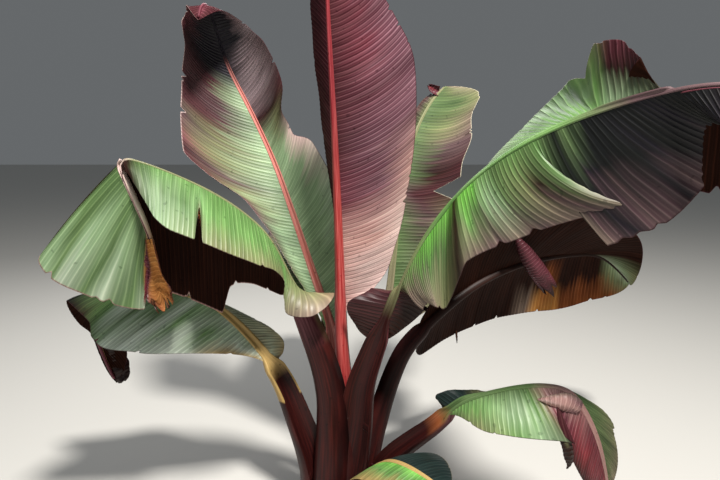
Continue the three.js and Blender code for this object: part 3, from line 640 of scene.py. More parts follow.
# Where a leaf has no tones of its own.
PLAIN = {
    "upper": [(0, "moss moss taupe"), (0.6, "moss moss mauve"), (1, "olive mauve wine")],
    "under": [(0, "umber"), (0.6, "wine"), (1, "garnet wine wine")],
    "rib_upper": [(-0.1, "bark"), (0.05, "olive")],
    "rib_under": [(-0.1, "bark"), (0.05, "garnet")],
}


def linear(red, green, blue):
    """A colour as seen, 0 to 255, in the linear values that a shader takes."""
    seen = np.array([red, green, blue]) / 255
    low = seen / 12.92
    high = ((seen + 0.055) / 1.055) ** 2.4
    return (*np.where(seen <= 0.04045, low, high).tolist(), 1.0)


TONE_VALUES = 7  # for each tone, as the next function gives them


def tone_values(name):
    """Tissue and vein colour as red, green and blue, then 1 for dry tissue."""
    tissue, vein = TONES[name]
    return [*linear(*tissue)[:3], *linear(*vein)[:3], float(name in DRY_TONES)]


# The leaf rule
def smooth(x):
    x = np.clip(x, 0, 1)
    return x * x * (3 - 2 * x)


def mix(a, b, share):
    return a + (b - a) * share


def unit(vectors):
    return vectors / np.maximum(np.linalg.norm(vectors, axis=-1, keepdims=True), 1e-9)


def along(rows, x):
    """A smooth curve through rows (x, value, value, ...) that never overshoots them."""
    rows = np.array(rows, float)
    x = np.atleast_1d(np.asarray(x, float))
    at, value = rows[:, 0], rows[:, 1:]
    if len(rows) == 1:
        return np.repeat(value, len(x), axis=0)
    width = np.diff(at)
    rise = np.diff(value, axis=0) / width[:, None]
    before, after = rise[:-1], rise[1:]
    same = before * after > 0
    inner = np.where(same, 2 * before * after / np.where(same, before + after, 1), 0)
    tangent = np.vstack([rise[:1], inner, rise[-1:]])
    k = np.clip(np.searchsorted(at, x, side="right") - 1, 0, len(rows) - 2)
    h = width[k][:, None]
    u = np.clip((x - at[k]) / width[k], 0, 1)[:, None]
    return (
        (2 * u**3 - 3 * u**2 + 1) * value[k]
        + (u**3 - 2 * u**2 + u) * h * tangent[k]
        + (3 * u**2 - 2 * u**3) * value[k + 1]
        + (u**3 - u**2) * h * tangent[k + 1]
    )


def heading(slope, bearing):
    slope, bearing = np.radians(slope), np.radians(bearing)
    return np.stack(
        [np.cos(slope) * np.cos(bearing), np.cos(slope) * np.sin(bearing), np.sin(slope)], -1
    )


def rib_points(leaf):
    """The rib from the ground to the tip, one point every STEP."""
    count = round((leaf["stalk"] + leaf["blade"]) / STEP)
    slope, bearing = along(leaf["rib"], (np.arange(count) + 0.5) * STEP).T
    start = np.array([[*leaf["foot"], 0.0]])
    return np.vstack([start, start + np.cumsum(heading(slope, bearing) * STEP, axis=0)])


def rib_at(points, s):
    """Points of the rib; the first and the last step go straight on."""
    i = np.clip(np.floor(s / STEP).astype(int), 0, len(points) - 2)
    return points[i] + (points[i + 1] - points[i]) * (s / STEP - i)[:, None]


def rib_forward(points, s):
    return unit(rib_at(points, s + 2 * STEP) - rib_at(points, s - 2 * STEP))


def blade_share(leaf, s):
    return (s - leaf["stalk"]) / leaf["blade"]


def outline(leaf, t):
    """Half width of the blade, from 0 at both ends to 1."""
    rise = np.sin(np.clip(t / leaf["shoulder"], 0, 1) * math.pi / 2) ** leaf.get("round", 1)
    fall = np.sin(np.clip((1 - t) / leaf["nose"], 0, 1) * math.pi / 2) ** NOSE_ROUND
    return rise * fall


def vein_length(leaf, side, t):
    """Length of the veins of one half, shortened where they end at a tear or a split."""
    length = leaf["width"] * outline(leaf, t)
    if f"{side}_wide" in leaf:
        length = length * along(leaf[f"{side}_wide"], t)[:, 0]
    for at, span, left in leaf.get(f"{side}_tears", []) + leaf.get(f"{side}_nicks", []):
        length = length * (1 - (1 - left) * np.clip(1 - np.abs(t - at) / (span / 2), 0, 1))
    return length


def stalk_half(leaf, s):
    """Half width of the sheath, the stalk and the midrib, one after the other."""
    fork, stalk = leaf["fork"], leaf["stalk"]
    girth = leaf.get("girth", 1)
    sheath = mix(SHEATH_WIDTH, STALK_WIDTH, s / fork) * girth
    bare = mix(STALK_WIDTH, STALK_TOP, (s - fork) / (stalk - fork)) * girth
    rib = mix(RIB_WIDTH, RIB_TIP, np.clip(blade_share(leaf, s), 0, 1) ** RIB_TAPER)
    return np.where(s < fork, sheath, np.where(s < stalk, bare, rib)) / 2


def opened(leaf, s):
    """0 on the stalk and 1 on the blade, past the stretch where the channel opens."""
    return smooth(blade_share(leaf, s) / OPENING)[:, None]


def across_stalk(leaf, forward):
    """The left side of a stalk: level across its channel, square to the rib."""
    left, right = leaf["left"][0], leaf["right"][0]
    side = heading(left[1], left[2]) - heading(right[1], right[2])
    return unit(side - forward * (forward @ side)[:, None])


def half_sheet(leaf, side, s, shares):
    """Middle of one half of the leaf, as a grid of points (section, share of the vein)."""
    points = rib_points(leaf)
    centre, forward = rib_at(points, s), rib_forward(points, s)
    t = blade_share(leaf, s)
    across = across_stalk(leaf, forward) * (1 if side == "left" else -1)
    angles = along(leaf[side], np.clip(t, 0, 1))
    on_blade = opened(leaf, s)
    half = stalk_half(leaf, s)
    least = mix(half, TIP_WIDTH, np.clip((t - 1 + TIP_SHARE) / TIP_SHARE, 0, 1))
    least = least * np.clip(TIP_LEFT + (1 - t) / TIP_CLOSE, 0, 1)
    length = np.maximum(np.where(t > 0, vein_length(leaf, side, np.clip(t, 0, 1)), 0), least)
    walk = (np.arange(VEIN_STEPS) + 0.5) / VEIN_STEPS
    slope = mix(angles[:, :1], angles[:, 2:3], walk)
    bearing = mix(angles[:, 1:2], angles[:, 3:4], walk)
    vein = heading(slope, bearing)
    step = unit(mix(across[:, None], vein, on_blade[:, None]))
    path = np.cumsum(step, axis=1) * (length / VEIN_STEPS)[:, None, None]
    path = np.concatenate([np.zeros_like(path[:, :1]), path], axis=1) + centre[:, None]
    place = np.asarray(shares) * VEIN_STEPS
    i = np.minimum(place.astype(int), VEIN_STEPS - 1)
    return path[:, i] + (path[:, i + 1] - path[:, i]) * (place - i)[None, :, None]


def sheet_normals(grid):
    """Upper side of a grid whose rows run forward and whose columns run from left to right."""
    ahead = np.gradient(grid, axis=0)
    rightward = np.gradient(grid, axis=1)
    return unit(np.cross(rightward, ahead))


# Meshes
def grid_quads(rows, columns, first=0, flip=False):
    r, c = np.meshgrid(np.arange(rows - 1), np.arange(columns - 1), indexing="ij")
    a = (first + r * columns + c).ravel()
    quads = np.stack([a, a + 1, a + columns + 1, a + columns], -1)
    return quads[:, ::-1] if flip else quads


def rim_quads(rows, columns):
    """Joins the edge of an upper grid to that of a lower grid with the same count."""
    under = rows * columns
    left = np.arange(rows - 1) * columns
    right = left + columns - 1
    foot = np.arange(columns - 1)
    tip = foot + (rows - 1) * columns
    return np.vstack([
        np.stack([left, left + columns, left + columns + under, left + under], -1),
        np.stack([right, right + under, right + columns + under, right + columns], -1),
        np.stack([foot, foot + under, foot + 1 + under, foot + 1], -1),
        np.stack([tip, tip + 1, tip + 1 + under, tip + under], -1),
    ])


def two_sided(upper, lower):
    """Points and faces of a closed shell, from the grids of its upper and its lower side."""
    rows, columns = upper.shape[:2]
    points = np.concatenate([upper.reshape(-1, 3), lower.reshape(-1, 3)])
    quads = np.vstack([
        grid_quads(rows, columns),
        grid_quads(rows, columns, rows * columns, flip=True),
        rim_quads(rows, columns),
    ])
    return points, quads


def on_both_sides(**values):
    """Values of the points of such a shell, the same above and below."""
    return {key: np.concatenate([value.ravel()] * 2) for key, value in values.items()}


def new_object(name, data):
    made = bpy.data.objects.new(name, data)
    bpy.context.scene.collection.objects.link(made)
    return made


def new_piece(name, points, quads, values=None, vectors=None, colors=None):
    """A mesh object at the origin, from points in millimetres, with values kept on its points."""
    mesh = bpy.data.meshes.new(name)
    mesh.from_pydata((np.asarray(points) * MM).tolist(), [], [list(face) for face in quads])
    for key, value in (values or {}).items():
        mesh.attributes.new(key, "FLOAT", "POINT").data.foreach_set("value", np.ravel(value))
    for key, value in (vectors or {}).items():
        mesh.attributes.new(key, "FLOAT_VECTOR", "POINT").data.foreach_set("vector", np.ravel(value))
    for key, value in (colors or {}).items():
        opaque = np.concatenate([value.reshape(-1, 3), np.ones((value.size // 3, 1))], axis=1)
        mesh.attributes.new(key, "FLOAT_COLOR", "POINT").data.foreach_set("color", opaque.ravel())
    mesh.shade_smooth()
    return new_object(name, mesh)


# Node trees
class Nodes:
    """Adds nodes to a tree. add gives back the node, the other calls the socket of their result."""

    def __init__(self, tree):
        self.tree = tree

    def add(self, kind, inputs=None, **settings):
        node = self.tree.nodes.new(kind)
        for key, value in settings.items():
            setattr(node, key, value)
        for key, value in (inputs or {}).items():
            if isinstance(value, bpy.types.NodeSocket):
                self.tree.links.new(value, node.inputs[key])
            else:
                node.inputs[key].default_value = value
        return node

    def math(self, operation, *values):
        return self.add("ShaderNodeMath", dict(enumerate(values)), operation=operation).outputs[0]

    def product(self, first, *others):
        for value in others:
            first = self.math("MULTIPLY", first, value)
        return first

    def step(self, value, low, high):
        """0 below low and 1 above high, with a soft change between them."""
        inputs = {"Value": value, "From Min": low, "From Max": high}
        node = self.add("ShaderNodeMapRange", inputs, interpolation_type="SMOOTHSTEP")
        return node.outputs["Result"]

    def vector(self, x=0.0, y=0.0, z=0.0):
        return self.add("ShaderNodeCombineXYZ", {"X": x, "Y": y, "Z": z}).outputs[0]

    def noise(self, place, scale=1.0, detail=2.0):
        inputs = {"Vector": place, "Scale": scale, "Detail": detail}
        return self.add("ShaderNodeTexNoise", inputs).outputs[0]

    def veins_passed(self, run, share, seed, spacing):
        """Number of veins from the foot of a blade to a place on it; the veins drift slowly."""
        place = self.vector(
            self.math("DIVIDE", run, WANDER_LENGTH), self.product(share, WANDER_TURNS), seed
        )
        wander = self.product(self.math("SUBTRACT", self.noise(place), 0.5), WANDER_DEPTH)
        return self.math("DIVIDE", self.math("ADD", run, wander), spacing)

    def blend(self, share, a, b):
        """Colour a where the share is 0 and b where it is 1."""
        return self.add("ShaderNodeMix", {0: share, 6: a, 7: b}, data_type="RGBA").outputs[2]

    def held(self, name):
        """A value kept on the points of the piece."""
        return self.add("ShaderNodeAttribute", attribute_name=name).outputs["Fac"]

    def tone(self, name):
        """A colour kept on the points of the piece."""
        return self.add("ShaderNodeAttribute", attribute_name=name).outputs["Color"]

    def scaled(self, vector, share):
        """A direction made longer, or a colour made darker."""
        node = self.add("ShaderNodeVectorMath", {0: vector, "Scale": share}, operation="SCALE")
        return node.outputs[0]


def new_group(name, kind, inputs, output_kind, outputs):
    """A tree and its inputs, which are numbers, or the kind of a socket that holds something else."""
    tree = bpy.data.node_groups.new(name, kind)
    for label, value in inputs.items():
        if isinstance(value, str):
            tree.interface.new_socket(label, in_out="INPUT", socket_type=f"NodeSocket{value}")
        else:
            made = tree.interface.new_socket(label, in_out="INPUT", socket_type="NodeSocketFloat")
            made.default_value = value
    for label in outputs:
        tree.interface.new_socket(label, in_out="OUTPUT", socket_type=f"NodeSocket{output_kind}")
    nodes = Nodes(tree)
    return nodes, nodes.add("NodeGroupInput").outputs


def relief_tree():
    """Pleats a blade between its veins and sways its margin, along the normals kept on it."""
    inputs = {
        "Geometry": "Geometry",
        "Vein spacing": VEIN_SPACING,
        "Vein depth": VEIN_DEPTH,
        "Sway length": SWAY_LENGTH,
        "Sway depth": SWAY_DEPTH,
        "Seed": 0.0,
        "Upper": "Material",
        "Under": "Material",
    }
    nodes, given = new_group("blade relief", "GeometryNodeTree", inputs, "Geometry", ["Geometry"])

    def kept(name, kind="FLOAT"):
        node = nodes.add("GeometryNodeInputNamedAttribute", {"Name": name}, data_type=kind)
        return node.outputs["Attribute"]

    run, share, seed = kept("run"), kept("share"), given["Seed"]
    veins = nodes.veins_passed(run, share, seed, given["Vein spacing"])
    uneven = nodes.vector(
        nodes.math("DIVIDE", run, UNEVEN_LENGTH),
        nodes.product(share, UNEVEN_TURNS),
        UNEVEN_SEED,
    )
    pleat = nodes.product(
        nodes.math("COSINE", nodes.product(veins, math.tau)),
        given["Vein depth"],
        nodes.step(share, *PLEAT_REACH),
        nodes.product(nodes.noise(uneven), 2.0),
        nodes.math("SUBTRACT", PLEAT_START, nodes.product(share, PLEAT_LOSS)),
    )
    wave = nodes.math("DIVIDE", run, given["Sway length"])
    place = nodes.vector(wave, nodes.product(share, SWAY_TURNS), seed)
    sway = nodes.product(
        nodes.math("SUBTRACT", nodes.noise(place, 1.0, 1.0), 0.5),
        2.0,
        given["Sway depth"],
        nodes.step(share, *SWAY_REACH),
    )
    height = nodes.product(nodes.math("ADD", pleat, sway), MM)
    moved = nodes.add(
        "GeometryNodeSetPosition",
        {
            "Geometry": given["Geometry"],
            "Offset": nodes.scaled(kept("sheet_normal", "FLOAT_VECTOR"), height),
        },
    )
    real = nodes.add("GeometryNodeRealizeInstances", {"Geometry": moved.outputs[0]})
    upper = nodes.add(
        "GeometryNodeSetMaterial", {"Geometry": real.outputs[0], "Material": given["Upper"]}
    )
    is_under = nodes.math("GREATER_THAN", kept("under"), 0.5)
    under = nodes.add(
        "GeometryNodeSetMaterial",
        {"Geometry": upper.outputs[0], "Selection": is_under, "Material": given["Under"]},
    )
    nodes.add("NodeGroupOutput", {"Geometry": under.outputs[0]})
    return nodes.tree


def run_tree(piece, tree, values):
    """Evaluates a geometry tree on a piece and keeps the result as its plain mesh."""
    modifier = piece.modifiers.new("grown", "NODES")
    modifier.node_group = tree
    for item in tree.interface.items_tree:
        if item.in_out == "INPUT" and item.name in values:
            modifier[item.identifier] = values[item.name]
    evaluated = piece.evaluated_get(bpy.context.evaluated_depsgraph_get())
    made = bpy.data.meshes.new_from_object(evaluated)
    piece.modifiers.remove(modifier)
    piece.data = made
    made.name = piece.name
    made.shade_smooth()


def vein_group():
    """Fine pale lines where the veins run, painted shade in the valleys between them, and their height
    for the bump.
    """
    inputs = {"Run": 0.0, "Share": 0.0, "Seed": 0.0, "Spacing": VEIN_SPACING, "Sharpness": 9.0}
    outputs = ["Vein", "Fine", "Valley shade", "Height"]
    nodes, given = new_group("vein lines", "ShaderNodeTree", inputs, "Float", outputs)
    veins = nodes.veins_passed(given["Run"], given["Share"], given["Seed"], given["Spacing"])

    def crest(times, sharpness):
        """Lines that are 1 along their middle, so many times as close as the veins."""
        turn = nodes.product(veins, math.tau * times)
        rise = nodes.math("ADD", nodes.product(nodes.math("COSINE", turn), 0.5), 0.5)
        return nodes.math("POWER", rise, sharpness)

    vein = crest(1.0, given["Sharpness"])
    fine = crest(2.0, 3.0)
    # Painted shade in the valleys between the veins, where the pleats sink.
    valley_shade = nodes.math("SUBTRACT", 1.0, crest(1.0, 1.0))
    height = nodes.math("ADD", vein, nodes.product(fine, 0.35))
    nodes.add("NodeGroupOutput", dict(zip(outputs, (vein, fine, valley_shade, height))))
    return nodes.tree


def streak_group():
    """A mask in streaks along the veins, that covers more as Amount rises from 0 to 1."""
    inputs = {"Run": 0.0, "Share": 0.0, "Seed": 0.0, "Amount": 0.5, "Width": 20.0}
    nodes, given = new_group("vein streaks", "ShaderNodeTree", inputs, "Float", ["Mask"])
    place = nodes.vector(
        nodes.math("DIVIDE", given["Run"], given["Width"]),
        nodes.product(given["Share"], 2.0),
        given["Seed"],
    )
    streak = nodes.noise(place, 1.0, 4.0)
    high = nodes.math("ADD", given["Amount"], nodes.math("SUBTRACT", streak, 0.5))
    nodes.add("NodeGroupOutput", {"Mask": nodes.step(high, 0.25, 0.75)})
    return nodes.tree


def blotch_group():
    """Small marks and slow changes of tone, from the place on the object."""
    inputs = {"Scale": 9.0, "Spots": 60.0}
    nodes, given = new_group("blotches", "ShaderNodeTree", inputs, "Float", ["Tone", "Spot"])
    place = nodes.add("ShaderNodeTexCoord").outputs["Object"]
    tone = nodes.noise(place, given["Scale"], 3.0)
    spot = nodes.step(nodes.noise(place, given["Spots"], 1.0), 0.7, 0.76)
    nodes.add("NodeGroupOutput", {"Tone": tone, "Spot": spot})
    return nodes.tree


# Materials
GROUPS = {}


def placed(nodes, name, inputs):
    """The outputs of a shader group, put into a material with its own inputs."""
    return nodes.add("ShaderNodeGroup", inputs, node_tree=GROUPS[name]).outputs


def new_material(name):
    material = bpy.data.materials.new(name)
    material.use_nodes = True
    nodes = Nodes(material.node_tree)
    return material, nodes, material.node_tree.nodes["Principled BSDF"]


def finish_surface(nodes, shader, color, roughness, height, distance, strength):
    """Joins the colour, the roughness and a bump to the shader of a material."""
    nodes.tree.links.new(color, shader.inputs["Base Color"])
    nodes.tree.links.new(roughness, shader.inputs["Roughness"])
    bump = nodes.add("ShaderNodeBump", {"Height": height, "Distance": distance, "Strength": strength})
    nodes.tree.links.new(bump.outputs["Normal"], shader.inputs["Normal"])


def blade_material(name, vein_sharpness, vein_strength, roughness, shine):
    """Living tissue between veins: its two colours are kept on the points of the blade."""
    material, nodes, shader = new_material(name)
    run, share, seed = nodes.held("run"), nodes.held("share"), nodes.held("seed")
    ground, vein_tone, dry = nodes.tone("ground"), nodes.tone("vein"), nodes.held("dry")
    place = {"Run": run, "Share": share, "Seed": seed}
    veins = placed(nodes, "vein lines", {**place, "Sharpness": vein_sharpness})
    streak = placed(nodes, "vein streaks", place)["Mask"]
    blotch = placed(nodes, "blotches", {})
    crumple = nodes.product(dry, nodes.step(blotch["Tone"], 0.35, 0.65))
    layers = [  # (mask, strength, tone), one over the other
        # painted shade in the pleat valleys
        (veins["Valley shade"], 0.4, nodes.scaled(ground, 0.5)),
        (blotch["Tone"], 0.35, vein_tone),
        (streak, 0.4, nodes.scaled(ground, 0.55)),
        (veins["Fine"], 0.22, vein_tone),
        (veins["Vein"], vein_strength, vein_tone),
        (blotch["Spot"], 0.45, nodes.scaled(ground, 0.3)),
        (crumple, 0.6, nodes.scaled(ground, 0.35)),
    ]
    color = ground
    for mask, strength, tone in layers:
        color = nodes.blend(nodes.product(mask, strength), color, tone)
    rough = nodes.math("ADD", roughness, nodes.product(dry, 0.4))
    rough = nodes.math("ADD", rough, nodes.product(streak, 0.12))
    finish_surface(nodes, shader, color, rough, veins["Height"], distance=0.0007, strength=0.55)
    shader.inputs["Specular IOR Level"].default_value = shine
    return material


def stalk_material():
    """Smooth stalks that run out into the midribs, grained along their length."""
    material, nodes, shader = new_material("stalks and midribs")
    run, share = nodes.held("run"), nodes.held("share")
    place = nodes.vector(
        nodes.math("DIVIDE", run, GRAIN_LENGTH),
        nodes.product(share, GRAIN_LINES),
        nodes.held("seed"),
    )
    grain = nodes.noise(place, 1.0, 4.0)
    blotch = placed(nodes, "blotches", {})
    ground = nodes.tone("ground")
    color = nodes.blend(nodes.step(grain, 0.35, 0.75), ground, nodes.tone("vein"))
    color = nodes.blend(nodes.product(blotch["Spot"], 0.6), color, nodes.scaled(ground, 0.3))
    rough = nodes.math("ADD", 0.38, nodes.product(grain, 0.25))
    finish_surface(nodes, shader, color, rough, grain, distance=0.0008, strength=0.5)
    shader.inputs["Specular IOR Level"].default_value = 0.25
    return material


# Blades
def nicks(leaf, rng):
    """Short splits that run in from the margins between veins, told in the way of the tears."""
    for side in ("left", "right"):
        count = int(leaf["blade"] / NICK_SPACING)
        leaf[f"{side}_nicks"] = [
            (place, mix(*NICK_WIDTHS, rng.random()), mix(*NICK_LEFT, rng.random()))
            for place in mix(*NICK_PLACES, rng.random(count))
        ]


def from_left_to_right(left, right):
    """One grid from two halves that both run outwards from the midrib."""
    return np.concatenate([left[:, :0:-1], right], axis=1)


def vein_noise(t, length, spacing, rng):
    """A value from -1 to 1 for each vein, drawn anew at every spacing and drifting in between."""
    knots = rng.uniform(-1, 1, int(length / spacing) + 2)
    return np.interp(t * length / spacing, np.arange(len(knots)), knots)[:, None]


def painted(rows, t, share):
    """Values of the tones between the rows, at places given by share of the length and width."""
    at = [row[0] for row in rows]
    table = np.array([[tone_values(name) for name in (row[1].split() * 3)[:3]] for row in rows])
    places = np.arange(t.size)
    columns = np.array([
        np.stack([np.interp(t.ravel(), at, table[:, column, k]) for k in range(TONE_VALUES)], -1)
        for column in range(3)
    ])
    wide = np.clip(share.ravel(), 0, 1) * 2
    i = np.minimum(wide.astype(int), 1)
    values = mix(columns[i, places], columns[i + 1, places], (wide - i)[:, None])
    return values.reshape(*t.shape, TONE_VALUES)


def streaks(t, length, layers, rng):
    """Values over half a blade that drift along it, apart at the rib, halfway and at the margin."""
    wide = np.array(SHARES)[None, :] * 2
    total = 0
    for strength, spacing in layers:
        rib, middle, margin = [vein_noise(t, length, spacing, rng) for _ in range(3)]
        layer = np.where(wide < 1, mix(rib, middle, wide), mix(middle, margin, wide - 1))
        total = total + strength * layer
    return total


def painted_half(leaf, side, face, t, rng):
    """Colours of half a blade, in streaks that follow its veins, with its edge in a tone of its own."""
    paint = PAINT.get(leaf["name"], {})
    rows = paint.get(f"{side}_{face}", PLAIN[face])
    shares = np.array(SHARES)[None, :]
    length = leaf["blade"]
    wander = streaks(t, length, STREAKS_ACROSS, rng)
    place = shares + wander * np.sin(np.clip(shares, 0.08, 0.9) * math.pi)
    values = painted(rows, t[:, None] + streaks(t, length, STREAKS_ALONG, rng), place)
    # Lighter streaks along the veins: vein colour, and painted highlights on the ridges of the pleats.
    vein_glint = VEIN_GLINT_SHOWS * np.clip(streaks(t, length, STREAKS_VEIN_GLINT, rng), 0, 1)
    values[..., :3] = mix(values[..., :3], values[..., 3:6], vein_glint[..., None])
    values[..., :6] *= 1 + streaks(t, length, STREAKS_LIGHT, rng)[..., None]
    edge = tone_values(paint.get(f"{side}_edge", "wine"))
    return np.where((shares > EDGE_SHARE)[..., None], edge, values)


def sheet_piece(name, grid, run, share, seed, paint, tree, materials, sway):
    """A thin sheet with both sides and a rim, painted above and below, pleated and swayed."""
    normal = sheet_normals(grid)
    thick = BLADE_THICK * (1 - 0.5 * share)[..., None]
    points, quads = two_sided(grid + normal * thick / 2, grid - normal * thick / 2)
    values = on_both_sides(run=run, share=share, seed=np.full_like(run, seed))
    values["under"] = np.repeat([0.0, 1.0], run.size)
    values["dry"] = paint[:, TONE_VALUES - 1]
    colors = {"ground": paint[:, :3], "vein": paint[:, 3:6]}
    vectors = {"sheet_normal": np.concatenate([normal.reshape(-1, 3)] * 2)}
    piece = new_piece(name, points, quads, values, vectors, colors)
    run_tree(piece, tree, {
        "Vein spacing": float(VEIN_SPACING),
        "Vein depth": VEIN_DEPTH,
        "Sway length": float(SWAY_LENGTH),
        "Sway depth": float(sway),
        "Seed": float(seed),
        "Upper": materials["upper"],
        "Under": materials["under"],
    })
    return piece


def blade_piece(leaf, tree, materials, seed, rng):
    """Both halves of a blade as one sheet, through the middle of its midrib."""
    count = round(leaf["blade"] / BLADE_STATION)
    s = leaf["stalk"] + leaf["blade"] * np.linspace(0, 1, count)
    t = blade_share(leaf, s)
    grid = from_left_to_right(*(half_sheet(leaf, side, s, SHARES) for side in ("left", "right")))
    shares = np.array(SHARES)
    rows, columns = grid.shape[:2]
    share = from_left_to_right(np.tile(shares, (rows, 1)), np.tile(shares, (rows, 1)))
    run = np.repeat((s - leaf["stalk"])[:, None], columns, axis=1)
    faces = []
    for face in ("upper", "under"):
        halves = [painted_half(leaf, side, face, t, rng) for side in ("left", "right")]
        faces.append(from_left_to_right(*halves).reshape(-1, TONE_VALUES))
    name = f"{leaf['name']}_blade"
    paint = np.concatenate(faces)
    return sheet_piece(name, grid, run, share, seed, paint, tree, materials, SWAY_DEPTH)


# Strips
def crumpled(rows, columns, rng):
    """Values from -1 to 1 over a sheet, drawn on a coarse grid and filled in between."""
    long = max(3, rows // CRUMPLE_ROWS)
    coarse = rng.uniform(-1, 1, (long, CRUMPLE_COLUMNS))
    down = np.linspace(0, long - 1, rows)
    across = np.linspace(0, CRUMPLE_COLUMNS - 1, columns)
    filled = np.array([np.interp(across, np.arange(CRUMPLE_COLUMNS), row) for row in coarse])
    return np.array([np.interp(down, np.arange(long), line) for line in filled.T]).T


def strip_piece(strip, tree, materials, seed, rng):
    """A torn strip of leaf, rolled across its length and ragged at its end."""
    leaf = next(leaf for leaf in LEAVES if leaf["name"] == strip["leaf"])
    side, t, share = strip["at"]
    s = np.array([leaf["stalk"] + t * leaf["blade"]])
    start = half_sheet(leaf, side, s, [share])[0, 0]
    rows, columns = max(STRIP_ROWS, round(strip["length"] / BLADE_STATION)), STRIP_COLUMNS
    u, v = np.linspace(0, 1, rows), np.linspace(-1, 1, columns)
    forward = heading(*along(strip["course"], u).T)
    path = start + np.cumsum(forward, axis=0) * strip["length"] / rows
    viewer = heading(0, -90)
    across = unit(np.cross(forward, viewer))
    out = unit(np.cross(across, forward))
    roll = math.radians(strip["roll"])
    radius = 2 * along(strip["wide"], u) / roll
    torn = strip.get("ragged", RAGGED) * rng.random(columns)[None]
    ragged = u[:, None] * (1 - torn * u[:, None] ** 3)
    grid = np.stack([np.interp(ragged, u, path[:, k]) for k in range(3)], -1)
    grid = grid + across[:, None] * (radius * np.sin(v * roll / 2))[..., None]
    crumple = strip["crumple"] * crumpled(rows, columns, rng) * u[:, None]
    lift = radius * (np.cos(v * roll / 2) - 1) + crumple
    grid = grid + out[:, None] * lift[..., None]
    share = np.repeat(np.abs(v)[None], rows, axis=0)
    run = np.repeat((u * strip["length"])[:, None], columns, axis=1)
    paint = painted(strip["tones"], np.repeat(u[:, None], columns, axis=1), share)
    paint = np.concatenate([paint.reshape(-1, TONE_VALUES)] * 2)
    name = f"{leaf['name']}_{strip['name']}"
    return sheet_piece(name, grid, run, share, seed, paint, tree, materials, STRIP_SWAY)


# Stalks and stem
def stalk_rings(leaf, s, inset):
    """Sections of a stalk and its midrib: a channel above, a round keel below."""
    points = rib_points(leaf)
    centre, forward = rib_at(points, s), rib_forward(points, s)
    half = stalk_half(leaf, s)
    on_blade = opened(leaf, s)
    top = STALK_TOP * leaf.get("girth", 1) / 2
    half = mix(np.where(s < leaf["stalk"], half, top), half, on_blade[:, 0]) - inset
    across = across_stalk(leaf, forward)
    sides = {}
    for side, sign in (("left", 1), ("right", -1)):
        angles = along(leaf[side], np.clip(blade_share(leaf, s), 0, 1))
        vein = heading(angles[:, 0], angles[:, 1])
        vein = unit(vein - forward * np.sum(vein * forward, axis=1, keepdims=True))
        sides[side] = unit(mix(across * sign, vein, on_blade))
    normals = {
        "left": unit(np.cross(forward, sides["left"])),
        "right": unit(np.cross(sides["right"], forward)),
    }
    middle = unit(normals["left"] + normals["right"])
    x = np.array(RING_SHARES)
    upper, lower = {}, {}
    for side in ("left", "right"):
        row = centre[:, None] + sides[side][:, None] * (half[:, None] * x)[..., None]
        normal = unit(mix(middle[:, None], normals[side][:, None], x[None, :, None]))
        channel = half[:, None] * (CHANNEL_FLOOR + CHANNEL_RISE * x**2)
        ridge = RIDGE_STAND + half[:, None] * RIDGE_RISE * x**2 * (1 - x**2)
        up = mix(channel, ridge, on_blade)
        down = half[:, None] * KEEL_DEPTH * np.sqrt(1 + KEEL_EDGE - x**2)
        down = mix(down, down * (1 - KEEL_PINCH * x**2), on_blade)
        upper[side] = row + normal * up[..., None]
        lower[side] = row - normal * down[..., None]
    return [from_left_to_right(rings["left"], rings["right"]) for rings in (upper, lower)]


def stalk_mesh(leaf, name, s, inset):
    """Closed mesh of the stalk over the distances s, with what its material reads."""
    upper, lower = stalk_rings(leaf, s, inset)
    rows, columns = upper.shape[:2]
    x = np.array(RING_SHARES)
    share = np.tile(np.concatenate([x[:0:-1], x]), (rows, 1))
    run = np.repeat(s[:, None], columns, axis=1)
    paint = PAINT.get(leaf["name"], {})
    faces = []
    for face in ("rib_upper", "rib_under"):
        t = np.repeat(blade_share(leaf, s)[:, None], columns, axis=1)
        values = painted(paint.get(face, PLAIN[face]), t, share)
        if "rim" in paint:
            on_rim = (share > RIM_SHARE) & (t > RIM_START)
            values = np.where(on_rim[..., None], tone_values(paint["rim"]), values)
        faces.append(values.reshape(-1, TONE_VALUES))
    tones = np.concatenate(faces)
    values = on_both_sides(run=run, share=share, seed=np.full_like(run, leaf["fork"]))
    colors = {"ground": tones[:, :3], "vein": tones[:, 3:6]}
    piece = new_piece(name, *two_sided(upper, lower), values, colors=colors)
    ends = piece.data.polygons[-2 * (columns - 1):]
    for face in ends:
        face.use_smooth = False
    return piece


def spaced(low, high, spacing):
    return np.linspace(low, high, max(2, round((high - low) / spacing) + 1))


def tucked(past):
    """How far a ring lies inside its neighbour, at a distance past the fork."""
    return TUCK_DEPTH * np.clip(past, 0, None) ** TUCK_GROWTH


def stalk_piece(leaf, material):
    """A stalk from its fork, with its midrib nearly to the tip."""
    s = spaced(leaf["fork"], leaf["stalk"] + leaf["blade"] - 6, STALK_STATION)
    s = np.concatenate([leaf["fork"] - TUCK[::-1], s])
    piece = stalk_mesh(leaf, f"{leaf['name']}_stalk", s, tucked(leaf["fork"] - s))
    piece.data.materials.append(material)
    return piece


